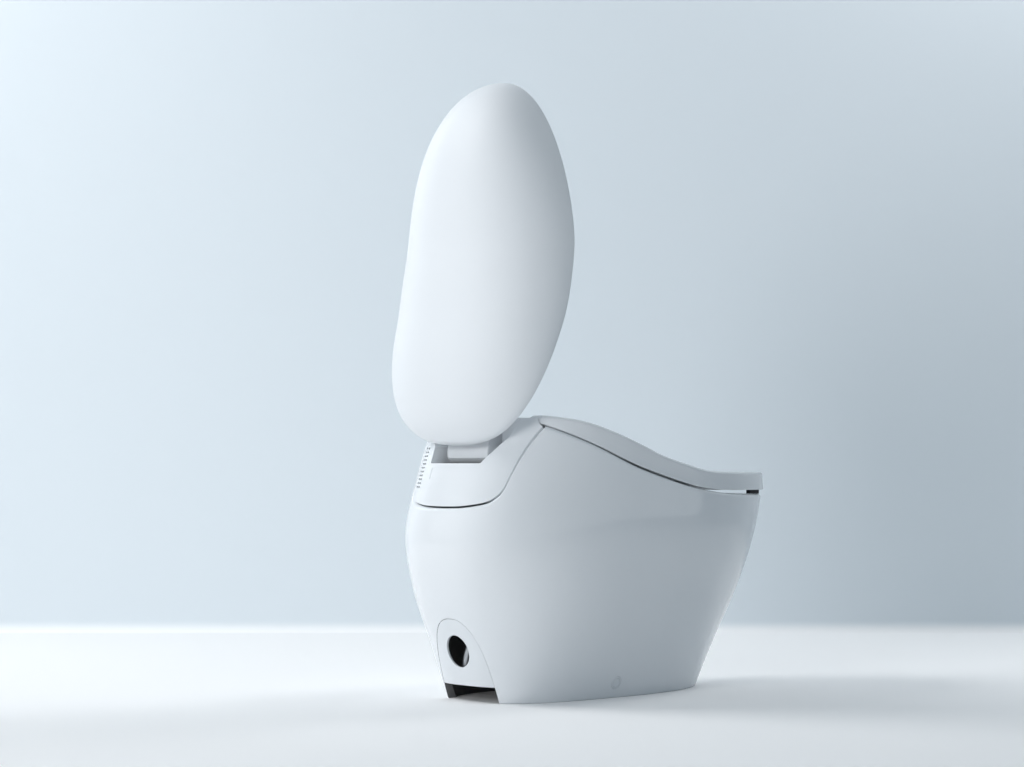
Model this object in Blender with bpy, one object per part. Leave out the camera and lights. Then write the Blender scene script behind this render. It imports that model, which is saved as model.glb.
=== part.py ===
"""Smart toilet with a one-piece ceramic bowl and a built-in washing unit.

Metres, +Z up. The bowl's front points to -Y, the user's right hand is -X. The origin is on
the floor, under the middle of the box that the object fills with its lid open. At rest the
lid is open and the seat is down. Run with blender --background --python part.py.
"""

import math

import bmesh
import bpy
from mathutils import Matrix, Vector

# Overall size
HALF_WIDTH = 0.2115
HALF_DEPTH = 0.3985
ENVELOPE_TOP = 0.520

# Shared clearances
SEAM = 0.0003
RUNNING_GAP = 0.0010
SWING_GAP = 0.0030
OVERRUN = 0.030

# Bowl walls
SKIRT_WALL = 0.014
BASIN_WALL = 0.012

# Rim: height of the ceramic's upper edge, front to back
RIM_FRONT_HEIGHT = 0.372
RIM_RISE = 0.126
RIM_REAR_Y = 0.282

# Basin and its sump
BASIN_FRONT_Y = -0.338
BASIN_REAR_Y = 0.108
BASIN_HALF_WIDTH = 0.160
BASIN_FLOOR_HEIGHT = 0.150

# Washing unit's bay and deck in the ceramic
DECK_HEIGHT = 0.348
BAY_FRONT_Y = 0.122
BAY_HALF_WIDTH = 0.155
BAY_TOP_HEIGHT = 0.492
DECK_THICKNESS = 0.016

# Rear foot: arch opening, its panel and the hole in it
ARCH_HALF_WIDTH = 0.070
ARCH_HEIGHT = 0.150
PANEL_THICKNESS = 0.004
PANEL_BOTTOM_HEIGHT = 0.029
PANEL_HOLE_RADIUS = 0.029
PANEL_HOLE_HEIGHT = 0.091

# Side fixing holes
SIDE_HOLE_Y = 0.089
SIDE_HOLE_HEIGHT = 0.028
SIDE_HOLE_RADIUS = 0.0085
SIDE_CAP_RADIUS = 0.012
SIDE_CAP_THICKNESS = 0.0025

# Lid
LID_FRONT_Y = -0.3985
LID_REAR_Y = 0.2665
LID_HALF_WIDTH = 0.2105
LID_CROWN = 0.119
LID_WALL = 0.0030
LID_LINER_THICKNESS = 0.0028
LID_LINER_SETBACK = 0.0030
LID_AXIS_Y = 0.2811
LID_AXIS_HEIGHT = 0.4456
LID_OPEN_DEGREES = 90.0

# Lid hinge drum
DRUM_RADIUS = 0.0490
DRUM_HALF_LENGTH = 0.0560
DRUM_WALL = 0.0030
DRUM_BORE_RADIUS = 0.0070
NECK_FRONT_Y = 0.2270
NECK_REAR_Y = 0.2560
NECK_HALF_WIDTH = 0.0520

# Seat
SEAT_HALF_WIDTH = 0.2110
SEAT_WALL = 0.0035
SEAT_EDGE_RADIUS = 0.007
SEAT_OPENING_FRONT_Y = -0.278
SEAT_OPENING_REAR_Y = 0.066
SEAT_OPENING_HALF_WIDTH = 0.108
SEAT_BASE_THICKNESS = 0.0030
SEAT_LINE_GAP = 0.0035
SEAT_BRIDGE_REAR_Y = 0.2020
SEAT_ARM_INNER_X = 0.1180
SEAT_AXIS_Y = 0.2745
SEAT_AXIS_HEIGHT = 0.5025
SEAT_END_RADIUS = 0.0105
SEAT_PIN_RADIUS = 0.0035
HEATER_THICKNESS = 0.0010

# Rear cover
COVER_WALL = 0.0030
COVER_FRONT_Y = 0.2060
NOTCH_HALF_WIDTH = 0.0680
NOTCH_TOP_HALF_WIDTH = 0.1200
NOTCH_HEIGHT = 0.4280
NOTCH_SHOULDER_HEIGHT = 0.4640
COVER_TOP_DROP = 0.0055

# Vent slots on the far rear quarter
VENT_ROWS = 11
VENT_PITCH = 0.0070
VENT_SLOT_HEIGHT = 0.0030
VENT_SLOT_LENGTH = 0.0070
VENT_TOP_HEIGHT = 0.4550
VENT_INNER_X = 0.0900
VENT_COLUMN_STEP = 0.0110

# Washing wand, on a slope into the basin
WAND_X = 0.0
WAND_MOUTH_Y = 0.1000
WAND_MOUTH_HEIGHT = 0.3643
WAND_PITCH_DEGREES = 40.0
WAND_SETBACK = 0.0360
WAND_LENGTH = 0.1110
WAND_HALF_WIDTH = 0.0095
WAND_HALF_HEIGHT = 0.0075
CRADLE_WALL = 0.0025

# Facets
OUTLINE_STEPS = 40
CORNER_STEPS = 3
LID_COLUMNS = 32
BASIN_COLUMNS = 24
HOLLOW_COLUMNS = 20
BASIN_OUTER_COLUMNS = 18
ROUND_STEPS = 18
SMALL_ROUND_STEPS = 12
PIN_STEPS = 12
PIPE_SIDES = 10

# Form of the object
# Outer form of the ceramic, as shares of the envelope's height and of half the overall
# depth and width: height, front reach, rear reach, half width, power at front, at rear
FORM_SHARES = (
    (0.000, 0.573, 0.818, 0.612, 2.16, 3.20),
    (0.096, 0.628, 0.853, 0.688, 2.17, 3.15),
    (0.192, 0.690, 0.888, 0.765, 2.18, 3.10),
    (0.385, 0.818, 0.964, 0.926, 2.20, 3.00),
    (0.577, 0.926, 1.000, 0.998, 2.21, 2.90),
    (0.769, 0.990, 0.940, 1.000, 2.22, 2.70),
    (0.962, 0.998, 0.846, 1.000, 2.22, 2.60),
    (1.000, 1.000, 0.826, 1.000, 2.22, 2.60),
)
WAIST_SHARE = 0.14

# Upper edge of the ceramic: share of the depth from the front tip to the rim's rear end,
# and share of its rise
RIM_SHARES = (
    (0.00, 0.000),
    (0.16, 0.000),
    (0.33, 0.022),
    (0.43, 0.062),
    (0.52, 0.128),
    (0.63, 0.262),
    (0.75, 0.445),
    (0.86, 0.685),
    (0.95, 0.885),
    (1.00, 1.000),
)

# Upper surface of the seat and lower edge of the lid: place along the same depth, and
# height as a share of the same rise over the rim's front
SEAT_TOP_SHARES = (
    (0.00, 0.318),
    (0.18, 0.326),
    (0.36, 0.334),
    (0.45, 0.360),
    (0.54, 0.452),
    (0.63, 0.568),
    (0.72, 0.742),
    (0.81, 0.912),
    (0.90, 1.056),
    (1.00, 1.142),
)
WELD = 0.00001
FLAT_ANGLE = 0.001

# Ceramic and its fittings
FORM_STEPS = (0.0, 0.10, 0.24, 0.38, 0.52, 0.66, 0.80, 0.92, 1.0)
INNER_STEPS = (0.0, 0.2, 0.4, 0.6, 0.8, 1.0)

# Parting line of the rear cover, seen from behind: shares of the bay's half width and
# of its height
PARTING_SHARES = (
    (0.000, 0.000),
    (0.335, 0.010),
    (0.632, 0.060),
    (0.742, 0.139),
    (0.794, 0.236),
    (0.832, 0.417),
    (0.871, 0.604),
    (0.935, 0.833),
    (1.000, 1.000),
    (1.070, 1.240),
)
ARCH_POWER = 2.6
ARCH_SIDE_POWER = 2.5

# Inside of the basin: height, then front, rear and half width, as shares of the basin's
# depth below the rim, of its reach in front of the waist and behind it, and of its width
BASIN_WAIST_Y = -0.050
BASIN_SHARES = (
    (0.000, 0.060, 0.560, 0.230),
    (0.030, 0.130, 0.700, 0.330),
    (0.085, 0.240, 0.800, 0.440),
    (0.190, 0.430, 0.870, 0.570),
    (0.360, 0.670, 0.930, 0.740),
    (0.580, 0.870, 0.970, 0.890),
    (0.800, 0.965, 0.990, 0.970),
    (1.000, 1.000, 1.000, 1.000),
)
BASIN_POWER = 2.25

# Waste way, from the sump over the weir to the floor: (y, z) of its middle line
TRAP_BORE_RADIUS = 0.0235
TRAP_WALL = 0.0065
TRAP_ROUTE = (
    (0.000, 0.184),
    (0.055, 0.158),
    (0.105, 0.150),
    (0.148, 0.172),
    (0.178, 0.214),
    (0.212, 0.230),
    (0.242, 0.198),
    (0.228, 0.152),
    (0.180, 0.116),
    (0.130, 0.092),
    (0.103, 0.074),
)
OUTLET_Y = 0.0935
OUTLET_PIPE_END = 0.020
OUTLET_STRAIGHT = 0.010

# Floor outlet
OUTLET_SOCKET_HEIGHT = 0.046
OUTLET_SOCKET_RADIUS = 0.0500
OUTLET_SOCKET_WALL = 0.0040
OUTLET_FLANGE_RADIUS = 0.0720
OUTLET_FLANGE_THICKNESS = 0.0050
OUTLET_SEAL_HEIGHT = 0.012
ARCH_REAR_LIMIT = 0.285
MOUTH_WAY_HALF_WIDTH = 0.0750
MOUTH_WAY_HEIGHT = 0.3484
SIDE_CAP_PROUD = 0.0008
DECK_HOLE_X = 0.075
DECK_HOLE_Y = 0.334
DECK_HOLE_RADIUS = 0.011
PANEL_GAP = 0.0008
SIDE_SCREW_RADIUS = 0.0030
SIDE_SCREW_HEAD_RADIUS = 0.0065
SIDE_SCREW_HEAD = 0.0035
SIDE_SCREW_REACH = 0.018
BRACKET_LENGTH = 0.060
BRACKET_HEIGHT = 0.042
BRACKET_THICKNESS = 0.012
BRACKET_FLANGE = 0.032
BRACKET_FLANGE_THICKNESS = 0.005
SEAL_LIP_SHARE = 0.33

# Rear cover, lid and seat
COVER_GAP = 0.0008
COVER_ARM_GAP = 0.0012
VENT_DEEP_Y = 0.315
NOTCH_FRONT_Y = 0.2240
NOTCH_WIDE_Y = 0.2950
WAND_WAY_HALF_WIDTH = 0.0180
WAND_WAY_TOP = 0.4900
COVER_OPEN_REAR = 0.052
COVER_OPEN_HEIGHT = 0.012
LID_WAIST_Y = 0.014
LID_FRONT_POWER = 2.05
LID_REAR_POWER = 2.66
LID_SIDE_POWER = 2.7
LID_END_POWER = 3.0
LID_CROWN_TILT = 0.237
LID_CROWN_SPREAD = 0.190
LID_RING_SHARES = (0.18, 0.42, 0.64, 0.80, 0.91, 0.97, 1.0)
LID_GAP = 0.0015
LINER_GAP = 0.0006
LINER_SHARES = (0.30, 0.60, 0.76, 0.84, 0.92, 1.0)
DRUM_HUB_LENGTH = 0.012
NECK_FOOT_SHARE = 0.93
NECK_GAP = 0.0005
LID_BUMPER_X = 0.120
LID_BUMPER_Y = -0.260
LID_BUMPER_LENGTH = 0.018
LID_BUMPER_WIDTH = 0.008
SEAT_OUTLINE_REAR_Y = 0.3360
SEAT_FORM_HEIGHT = 0.480
SEAT_OPENING_SHIFT = 0.020
SEAT_OPENING_POWER = 2.2
SEAT_LIFT = 0.0050
SEAT_LIFT_Y = -0.050
SEAT_LIFT_LENGTH = 0.250
SEAT_DISH = 0.0040
EDGE_STEPS = 2
SEAT_DISH_SHARES = ((0.70, 0.40), (0.35, 1.00))
SEAT_UNDER_SHARES = (0.0, 0.40, 0.75)
SEAT_BRIDGE_THICKNESS = 0.0130
SEAT_ROOM_HALF_WIDTH = 0.0760
SEAT_ROOM_FRONT_Y = 0.0800
SEAT_HOLLOW_REAR_Y = 0.1900
SEAT_PIN_REACH = 0.018
HEATER_SHARES = (0.1, 0.5, 0.9)
SEAT_BUMPER_FRONT_X = 0.095
SEAT_BUMPER_FRONT_Y = -0.330
SEAT_BUMPER_REAR_X = 0.184
SEAT_BUMPER_REAR_Y = -0.040
SEAT_BUMPER_LENGTH = 0.026
SEAT_BUMPER_WIDTH = 0.010

# Front of the washing unit
WAND_TIP_LENGTH = 0.022
WAND_EDGE_RADIUS = 0.004
WAND_HOLE_RADIUS = 0.0016
WAND_HOLE_SHARES = (0.30, 0.62)
CRADLE_LENGTH = 0.1400
WAND_GAP = 0.0005
CRADLE_SETBACK = 0.0060
FACE_SETBACK = 0.0026
FACE_TOP = 0.0240
FACE_BOTTOM = 0.0150
HOUSING_TOP_Y = 0.0890
HOUSING_REAR_Y = 0.2020
HOUSING_FOOT_Y = 0.1260
HOUSING_BOTTOM = 0.3488
HOUSING_DROP = 0.0030
HOUSING_HALF_WIDTH = 0.0740
HOUSING_WALL = 0.0022
MOUTH_HALF_WIDTH = 0.0120
MOUTH_HALF_HEIGHT = 0.0090
SHUTTER_BACK = 0.0010
SHUTTER_THICKNESS = 0.0018
SHUTTER_HALF_WIDTH = 0.0140
SHUTTER_REACH = 0.0110
SHUTTER_HINGE = 0.0200
DRYER_X = -0.0440
FAN_Y = 0.1740
FAN_HEIGHT = 0.4200
FAN_RADIUS = 0.0250
FAN_HALF_WIDTH = 0.0130
FAN_WALL = 0.0016
FAN_INLET_RADIUS = 0.0110
FAN_WHEEL_RADIUS = 0.0190
FAN_HUB_RADIUS = 0.0080
TRAY_GAP = 0.0004
TRAY_WALL = 0.0024
TRAY_TOP_SHARE = 0.07
TRAY_FRONT_Y = 0.2060
TRAY_REAR_Y = 0.3460

# Rest of the washing unit
LUG_WIDTH = 0.0040
LUG_HALF = 0.0032
LUG_REACH = 0.0034
LUG_ROOT = 0.0010
LUG_BORE = 0.0012
UNIT_RADIUS = 0.0025
DRIVE_INNER_X = 0.0740
DRIVE_OUTER_X = 0.1040
DRIVE_STEP = 0.0060
DRIVE_MOTOR_HALF = 0.0120
DRIVE_MOTOR_DROP = 0.0400
LID_DRIVE_RADIUS = 0.0200
BRACKET_HALF = 0.0140
LID_PIN_INNER_X = 0.0450
SEAT_CARRIER_INNER_X = 0.0960
SEAT_CARRIER_OUTER_X = 0.1120
CARRIER_HALF = 0.0120
SEAT_CARRIER_LOW = 0.4720
SEAT_CARRIER_TOP = 0.5030
SEAT_PIN_INNER_X = 0.1000
SEAT_DRIVE_FRONT_Y = 0.2150
SEAT_DRIVE_REAR_Y = 0.2615
SEAT_DRIVE_TOP = 0.4950
SEAT_DRIVE_REACH = 0.0360
HEATER_HALF = 0.0540
HEATER_LOW = (0.2620, 0.3550)
HEATER_HIGH = (0.3320, 0.3880)
UNIT_OUTER_X = 0.0960
UNIT_FRONT_Y = 0.2120
UNIT_LOW = 0.3615
VALVE_REAR_Y = 0.2540
VALVE_TOP = 0.4300
CONTROL_TOP = 0.4420
FILTER_LOW = (0.0780, 0.3180, 0.3830)
FILTER_HIGH = (0.1040, 0.3300, 0.4580)
PUMP_X = 0.0850
PUMP_RADIUS = 0.0145
PUMP_FRONT_Y = 0.2640
PUMP_REAR_Y = 0.3100
PUMP_NECK = 0.0060
ELBOW_RADIUS = 0.0080
ELBOW_ROUTE = (
    (-0.0280, 0.3100, 0.1180),
    (-0.0100, 0.3180, 0.1080),
    (0.0040, 0.3210, 0.0900),
    (0.0100, 0.3220, 0.0640),
    (0.0100, 0.3220, 0.0420),
)
HOSE_RADIUS = 0.0055
HOSE_SIDES = 6
HOSE_ROUTE = (
    (-0.0292, 0.3095, 0.1187),
    (-0.0380, 0.3060, 0.1236),
    (-0.0520, 0.3070, 0.1400),
    (-0.0700, 0.3260, 0.1900),
    (-0.0750, 0.3340, 0.2600),
    (-0.0750, 0.3340, 0.3300),
    (-0.0750, 0.3340, 0.3560),
    (-0.0790, 0.3240, 0.3740),
    (-0.0850, 0.2900, 0.3760),
    (-0.0860, 0.2543, 0.3760),
)
GLAND_RISE = 0.0120


def wave(table, at):
    """Smooth value at a place, from a table of (place, value) rows in rising order."""
    places = [row[0] for row in table]
    values = [row[1] for row in table]
    if at <= places[0]:
        return values[0]
    if at >= places[-1]:
        return values[-1]
    i = max(k for k in range(len(places) - 1) if places[k] <= at)
    step = places[i + 1] - places[i]
    t = (at - places[i]) / step

    def slope(k):
        low, high = max(k - 1, 0), min(k + 1, len(places) - 1)
        return (values[high] - values[low]) / (places[high] - places[low])

    start, end = slope(i) * step, slope(i + 1) * step
    a, b = values[i], values[i + 1]
    return (
        a * (2 * t**3 - 3 * t**2 + 1)
        + start * (t**3 - 2 * t**2 + t)
        + b * (3 * t**2 - 2 * t**3)
        + end * (t**3 - t**2)
    )


def power(value, exponent):
    return math.copysign(abs(value) ** exponent, value)


def egg(angle, half, front, rear, waist, front_power, rear_power):
    """A point of an egg outline, with the angle counted from +X towards +Y."""
    c, s = math.cos(angle), math.sin(angle)
    n = rear_power if s > 0 else front_power
    reach = rear - waist if s > 0 else waist - front
    return half * power(c, 2 / n), waist + reach * power(s, 2 / n)


def angles(count=OUTLINE_STEPS):
    """Angles round an outline, from +X."""
    return [2 * math.pi * i / count for i in range(count)]


def form(height, column):
    rows = [(row[0], row[column]) for row in FORM_SHARES]
    return wave(rows, height / ENVELOPE_TOP)


def envelope_point(angle, height, inset=0.0):
    """A point of the outer form at a height, moved in by the inset."""
    x, y = egg(
        angle,
        form(height, 3) * HALF_WIDTH - inset,
        -form(height, 1) * HALF_DEPTH + inset,
        form(height, 2) * HALF_DEPTH - inset,
        WAIST_SHARE * HALF_DEPTH,
        form(height, 4),
        form(height, 5),
    )
    return Vector((x, y, height))


def along(y):
    return (y + HALF_DEPTH) / (RIM_REAR_Y + HALF_DEPTH)


def rim_height(y):
    return RIM_FRONT_HEIGHT + RIM_RISE * wave(RIM_SHARES, along(y))


def seat_top_height(y):
    return RIM_FRONT_HEIGHT + RIM_RISE * wave(SEAT_TOP_SHARES, along(y))


# Mesh helpers


def clear_scene():
    for item in list(bpy.data.objects):
        bpy.data.objects.remove(item, do_unlink=True)


def material(name, colour, roughness, metallic=0.0):
    """A plain finish, made once for each name."""
    found = bpy.data.materials.get(name)
    if found:
        return found
    made = bpy.data.materials.new(name)
    made.use_nodes = True
    shader = made.node_tree.nodes["Principled BSDF"]
    shader.inputs["Base Color"].default_value = (*colour, 1.0)
    shader.inputs["Roughness"].default_value = roughness
    shader.inputs["Metallic"].default_value = metallic
    return made


def glazed_ceramic():
    return material("glazed_ceramic", (0.86, 0.89, 0.92), 0.08)


def white_plastic():
    return material("white_plastic", (0.84, 0.87, 0.90), 0.18)


def grey_plastic():
    return material("grey_plastic", (0.45, 0.48, 0.51), 0.40)


def dark_plastic():
    return material("dark_plastic", (0.05, 0.055, 0.06), 0.45)


def black_rubber():
    return material("black_rubber", (0.02, 0.02, 0.022), 0.75)


def steel():
    return material("steel", (0.62, 0.64, 0.66), 0.28, 1.0)


def brass():
    return material("brass", (0.70, 0.55, 0.28), 0.32, 1.0)


def board_green():
    return material("board_green", (0.03, 0.20, 0.10), 0.50)


def mesh_object(name, points, faces, finish):
    """One object from points and faces, its normals turned out and shaded smooth."""
    mesh = bpy.data.meshes.new(name)
    mesh.from_pydata([tuple(p) for p in points], [], faces)
    work = bmesh.new()
    work.from_mesh(mesh)
    bmesh.ops.remove_doubles(work, verts=work.verts, dist=0.000002)
    bmesh.ops.recalc_face_normals(work, faces=work.faces)
    bmesh.ops.triangulate(work, faces=work.faces)
    work.to_mesh(mesh)
    work.free()
    mesh.shade_smooth()
    mesh.set_sharp_from_angle(angle=math.radians(32))
    made = bpy.data.objects.new(name, mesh)
    bpy.context.scene.collection.objects.link(made)
    if finish:
        mesh.materials.append(finish)
    return made


def bridge(rings, closed_along=False, open_rings=False):
    """Faces between rings of equal length, with a cap on each open end."""
    count = len(rings[0])
    steps = count - 1 if open_rings else count
    points = [p for ring in rings for p in ring]
    faces = []
    last = len(rings) if closed_along else len(rings) - 1
    for r in range(last):
        low, high = r * count, ((r + 1) % len(rings)) * count
        for k in range(steps):
            n = (k + 1) % count
            faces.append((low + k, low + n, high + n, high + k))
    if not closed_along:
        faces.append(tuple(range(count)))
        faces.append(tuple(range((len(rings) - 1) * count, len(rings) * count)))
    return points, faces


def loft(name, rings, finish=None, closed_along=False):
    points, faces = bridge(rings, closed_along)
    return mesh_object(name, points, faces, finish)


def extrude_x(name, outline, low, high, finish=None):
    """A prism along X from a (y, z) outline."""
    rings = [[Vector((x, y, z)) for y, z in outline] for x in (low, high)]
    return loft(name, rings, finish)


def extrude_y(name, outline, low, high, finish=None):
    """A prism along Y from an (x, z) outline."""
    rings = [[Vector((x, y, z)) for x, z in outline] for y in (low, high)]
    return loft(name, rings, finish)


def extrude_z(name, outline, low, high, finish=None):
    """A prism along Z from an (x, y) outline."""
    rings = [[Vector((x, y, z)) for x, y in outline] for z in (low, high)]
    return loft(name, rings, finish)


def rounded(low_a, high_a, low_b, high_b, radius, steps=CORNER_STEPS):
    """A rectangle outline with round corners."""
    radius = min(radius, (high_a - low_a) / 2, (high_b - low_b) / 2)
    corners = (
        (high_a - radius, high_b - radius, 0.0),
        (low_a + radius, high_b - radius, 0.5),
        (low_a + radius, low_b + radius, 1.0),
        (high_a - radius, low_b + radius, 1.5),
    )
    outline = []
    for a, b, turn in corners:
        for i in range(steps + 1):
            t = math.pi * (turn + 0.5 * i / steps)
            outline.append((a + radius * math.cos(t), b + radius * math.sin(t)))
    return outline


def box(name, low, high, finish=None, radius=0.0, steps=3):
    """A block between two corners, with its upright edges rounded."""
    outline = rounded(low[0], high[0], low[1], high[1], radius, steps) if radius else [
        (low[0], low[1]),
        (high[0], low[1]),
        (high[0], high[1]),
        (low[0], high[1]),
    ]
    return extrude_z(name, outline, low[2], high[2], finish)


def revolve(name, profile, centre, axis, finish=None, steps=32):
    """A closed ring turned from (radius, along) points about an axis through a centre."""
    turn = Vector((0, 0, 1)).rotation_difference(Vector(axis)).to_matrix()
    rings = []
    for t in angles(steps):
        direction = Vector((math.cos(t), math.sin(t), 0))
        rings.append(
            [Vector(centre) + turn @ (direction * r + Vector((0, 0, a))) for r, a in profile]
        )
    on_axis = profile[0][0] == 0 and profile[-1][0] == 0
    points, faces = bridge(rings, closed_along=True, open_rings=on_axis)
    return mesh_object(name, points, faces, finish)


def rod(name, start, end, radius, finish=None, steps=20):
    """A plain round bar between two points."""
    start, end = Vector(start), Vector(end)
    profile = ((0, 0), (radius, 0), (radius, (end - start).length), (0, (end - start).length))
    return revolve(name, profile, start, end - start, finish, steps)


def tube_along(name, points, radius, finish=None, bore=0.0, sides=14):
    """A round pipe through points, hollow where it has a bore."""
    points = [Vector(p) for p in points]
    rings = {"out": [], "in": []}
    side = None
    for i, p in enumerate(points):
        ahead = points[min(i + 1, len(points) - 1)] - points[max(i - 1, 0)]
        ahead.normalize()
        if side is None:
            side = ahead.orthogonal().normalized()
        side = (side - ahead * side.dot(ahead)).normalized()
        up = ahead.cross(side)
        for key, r in (("out", radius), ("in", bore)):
            rings[key].append(
                [p + (side * math.cos(t) + up * math.sin(t)) * r for t in angles(sides)]
            )
    if not bore:
        return loft(name, rings["out"], finish)
    return loft(name, rings["out"] + rings["in"][::-1], finish, closed_along=True)


def curve_through(places, steps=6):
    """Points along a smooth curve through the places."""
    places = [Vector(p) for p in places]
    found = []
    for i in range(len(places) - 1):
        a, b = places[max(i - 1, 0)], places[i]
        c, d = places[i + 1], places[min(i + 2, len(places) - 1)]
        for k in range(steps):
            t = k / steps
            found.append(
                0.5
                * (
                    2 * b
                    + (c - a) * t
                    + (2 * a - 5 * b + 4 * c - d) * t**2
                    + (3 * b - a - 3 * c + d) * t**3
                )
            )
    return found + [places[-1]]


def combine(target, other, operation, solver="EXACT"):
    """Cuts, joins or crosses the target with another object, which is then removed."""
    modifier = target.modifiers.new(operation.title(), "BOOLEAN")
    modifier.operation = operation
    modifier.solver = solver
    modifier.object = other
    graph = bpy.context.evaluated_depsgraph_get()
    mesh = bpy.data.meshes.new_from_object(target.evaluated_get(graph))
    target.modifiers.remove(modifier)
    old = target.data
    finish = old.materials[0] if old.materials else None
    target.data = mesh
    bpy.data.meshes.remove(old)
    mesh.materials.clear()
    if finish:
        mesh.materials.append(finish)
    bpy.data.objects.remove(other, do_unlink=True)
    return tidy_mesh(target)


def tidy_mesh(target):
    """Takes out the slivers that a cut leaves and joins its flat triangles."""
    work = bmesh.new()
    work.from_mesh(target.data)
    bmesh.ops.remove_doubles(work, verts=work.verts, dist=WELD)
    bmesh.ops.dissolve_degenerate(work, edges=work.edges, dist=WELD)
    bmesh.ops.dissolve_limit(
        work, angle_limit=FLAT_ANGLE, verts=work.verts, edges=work.edges, delimit={"NORMAL"}
    )
    bmesh.ops.triangulate(work, faces=work.faces)
    work.to_mesh(target.data)
    work.free()
    return target


def cut(target, *others):
    for other in others:
        combine(target, other, "DIFFERENCE")
    return target


def join(target, *others):
    for other in others:
        combine(target, other, "UNION")
    return target


def cross(target, other):
    return combine(target, other, "INTERSECT")


def finish_mesh(target):
    """Shades a piece that was cut, with its edges kept sharp."""
    target.data.shade_smooth()
    target.data.set_sharp_from_angle(angle=math.radians(32))
    return target


def place(target, matrix):
    """Moves the mesh itself, so that the object stays at the origin."""
    target.data.transform(matrix)
    return target


# Forms shared by several pieces


def form_solid(name, inset, low, high, steps, finish=None, count=OUTLINE_STEPS):
    """The outer form between two heights, moved in by the inset."""
    rings = []
    for share in steps:
        height = low + (high - low) * share
        at = min(max(height, 0.0), ENVELOPE_TOP)
        ring = [envelope_point(t, at, inset) for t in angles(count)]
        rings.append([Vector((p.x, p.y, height)) for p in ring])
    return loft(name, rings, finish)


def parting_outline(clearance=0.0, top_share=None):
    """The bay's U outline as (x, z) points, moved in by a clearance."""
    half = BAY_HALF_WIDTH - clearance
    rise = BAY_TOP_HEIGHT - DECK_HEIGHT
    places = [
        Vector((half * a, DECK_HEIGHT + clearance + rise * b, 0.0))
        for a, b in PARTING_SHARES
        if top_share is None or b <= top_share
    ]
    right = [(p.x, p.y) for p in curve_through(places, 2)]
    left = [(-x, z) for x, z in right[:0:-1]]
    return left + right


def bay_solid(name, clearance, front, rear):
    return extrude_y(name, parting_outline(clearance), front, rear)


def height_cutter(name, height_at, drop, front, rear, half, steps=30):
    """A block above a line that runs from front to back."""
    outline = []
    for i in range(steps + 1):
        y = front + (rear - front) * i / steps
        outline.append((y, height_at(y) + drop))
    top = ENVELOPE_TOP + OVERRUN
    outline += [(rear, top), (front, top)]
    return extrude_x(name, outline, -half, half)


def arch_outline(clearance=0.0, low=-OVERRUN, steps=8):
    """The arch at the rear foot as (x, z) points, straight below the floor."""
    half, height = ARCH_HALF_WIDTH - clearance, ARCH_HEIGHT - clearance
    side = []
    for i in range(1, steps):
        z = height * math.sin(math.pi / 2 * i / steps)
        side.append((half * (1 - (z / height) ** ARCH_POWER) ** (1 / ARCH_SIDE_POWER), z))
    outline = [(half, low)] + side + [(0.0, height)]
    outline += [(-x, z) for x, z in side[::-1]] + [(-half, low)]
    return outline


# Bowl body


def basin_rings(grow, count):
    """Rings of the basin's inside, moved out by a wall."""
    depth = RIM_FRONT_HEIGHT - BASIN_FLOOR_HEIGHT
    front, rear = BASIN_WAIST_Y - BASIN_FRONT_Y, BASIN_REAR_Y - BASIN_WAIST_Y
    rings = []
    for down, ahead, behind, half in BASIN_SHARES:
        z = BASIN_FLOOR_HEIGHT - grow + (depth + grow) * down
        ring = []
        for t in angles(count):
            x, y = egg(
                t,
                BASIN_HALF_WIDTH * half + grow,
                BASIN_WAIST_Y - front * ahead - grow,
                BASIN_WAIST_Y + rear * behind + grow,
                BASIN_WAIST_Y,
                BASIN_POWER,
                BASIN_POWER,
            )
            ring.append(Vector((x, y, z)))
        rings.append(ring)
    return rings


def basin_cutter():
    """The basin, carried up past the rim with a rounded inner edge."""
    rings = basin_rings(0.0, BASIN_COLUMNS)
    top = rings[-1]
    rings.append([Vector((p.x, p.y, ENVELOPE_TOP + OVERRUN)) for p in top])
    return loft("basin_cutter", rings)


def trap_line():
    places = [Vector((0.0, y, z)) for y, z in TRAP_ROUTE]
    places.append(Vector((0.0, OUTLET_Y, OUTLET_SOCKET_HEIGHT + OUTLET_STRAIGHT)))
    places.append(Vector((0.0, OUTLET_Y, OUTLET_SOCKET_HEIGHT)))
    places.append(Vector((0.0, OUTLET_Y, OUTLET_PIPE_END)))
    return curve_through(places, 2)


def side_normal():
    """Outward direction of the skirt at the side fixing hole, and the point there."""
    span = SIDE_CAP_RADIUS

    def surface(y, z):
        rear = form(z, 2) * HALF_DEPTH
        waist = WAIST_SHARE * HALF_DEPTH
        n = form(z, 5)
        half = form(z, 3) * HALF_WIDTH
        return Vector((half * (1 - ((y - waist) / (rear - waist)) ** n) ** (1 / n), y, z))

    point = surface(SIDE_HOLE_Y, SIDE_HOLE_HEIGHT)
    along_y = surface(SIDE_HOLE_Y + span, SIDE_HOLE_HEIGHT) - point
    along_z = surface(SIDE_HOLE_Y, SIDE_HOLE_HEIGHT + span) - point
    normal = along_y.cross(along_z).normalized()
    return point, normal if normal.x > 0 else -normal


def bowl_hollow():
    """The space inside the skirt, round the basin and the waste way."""
    top = DECK_HEIGHT - DECK_THICKNESS
    hollow = form_solid("hollow", SKIRT_WALL, -OVERRUN, top, INNER_STEPS, count=HOLLOW_COLUMNS)
    outer = loft("basin_outer", basin_rings(BASIN_WALL, BASIN_OUTER_COLUMNS))
    pipe = tube_along(
        "trap_outer", trap_line(), TRAP_BORE_RADIUS + TRAP_WALL, sides=PIPE_SIDES
    )
    return cut(hollow, outer, pipe)


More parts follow.
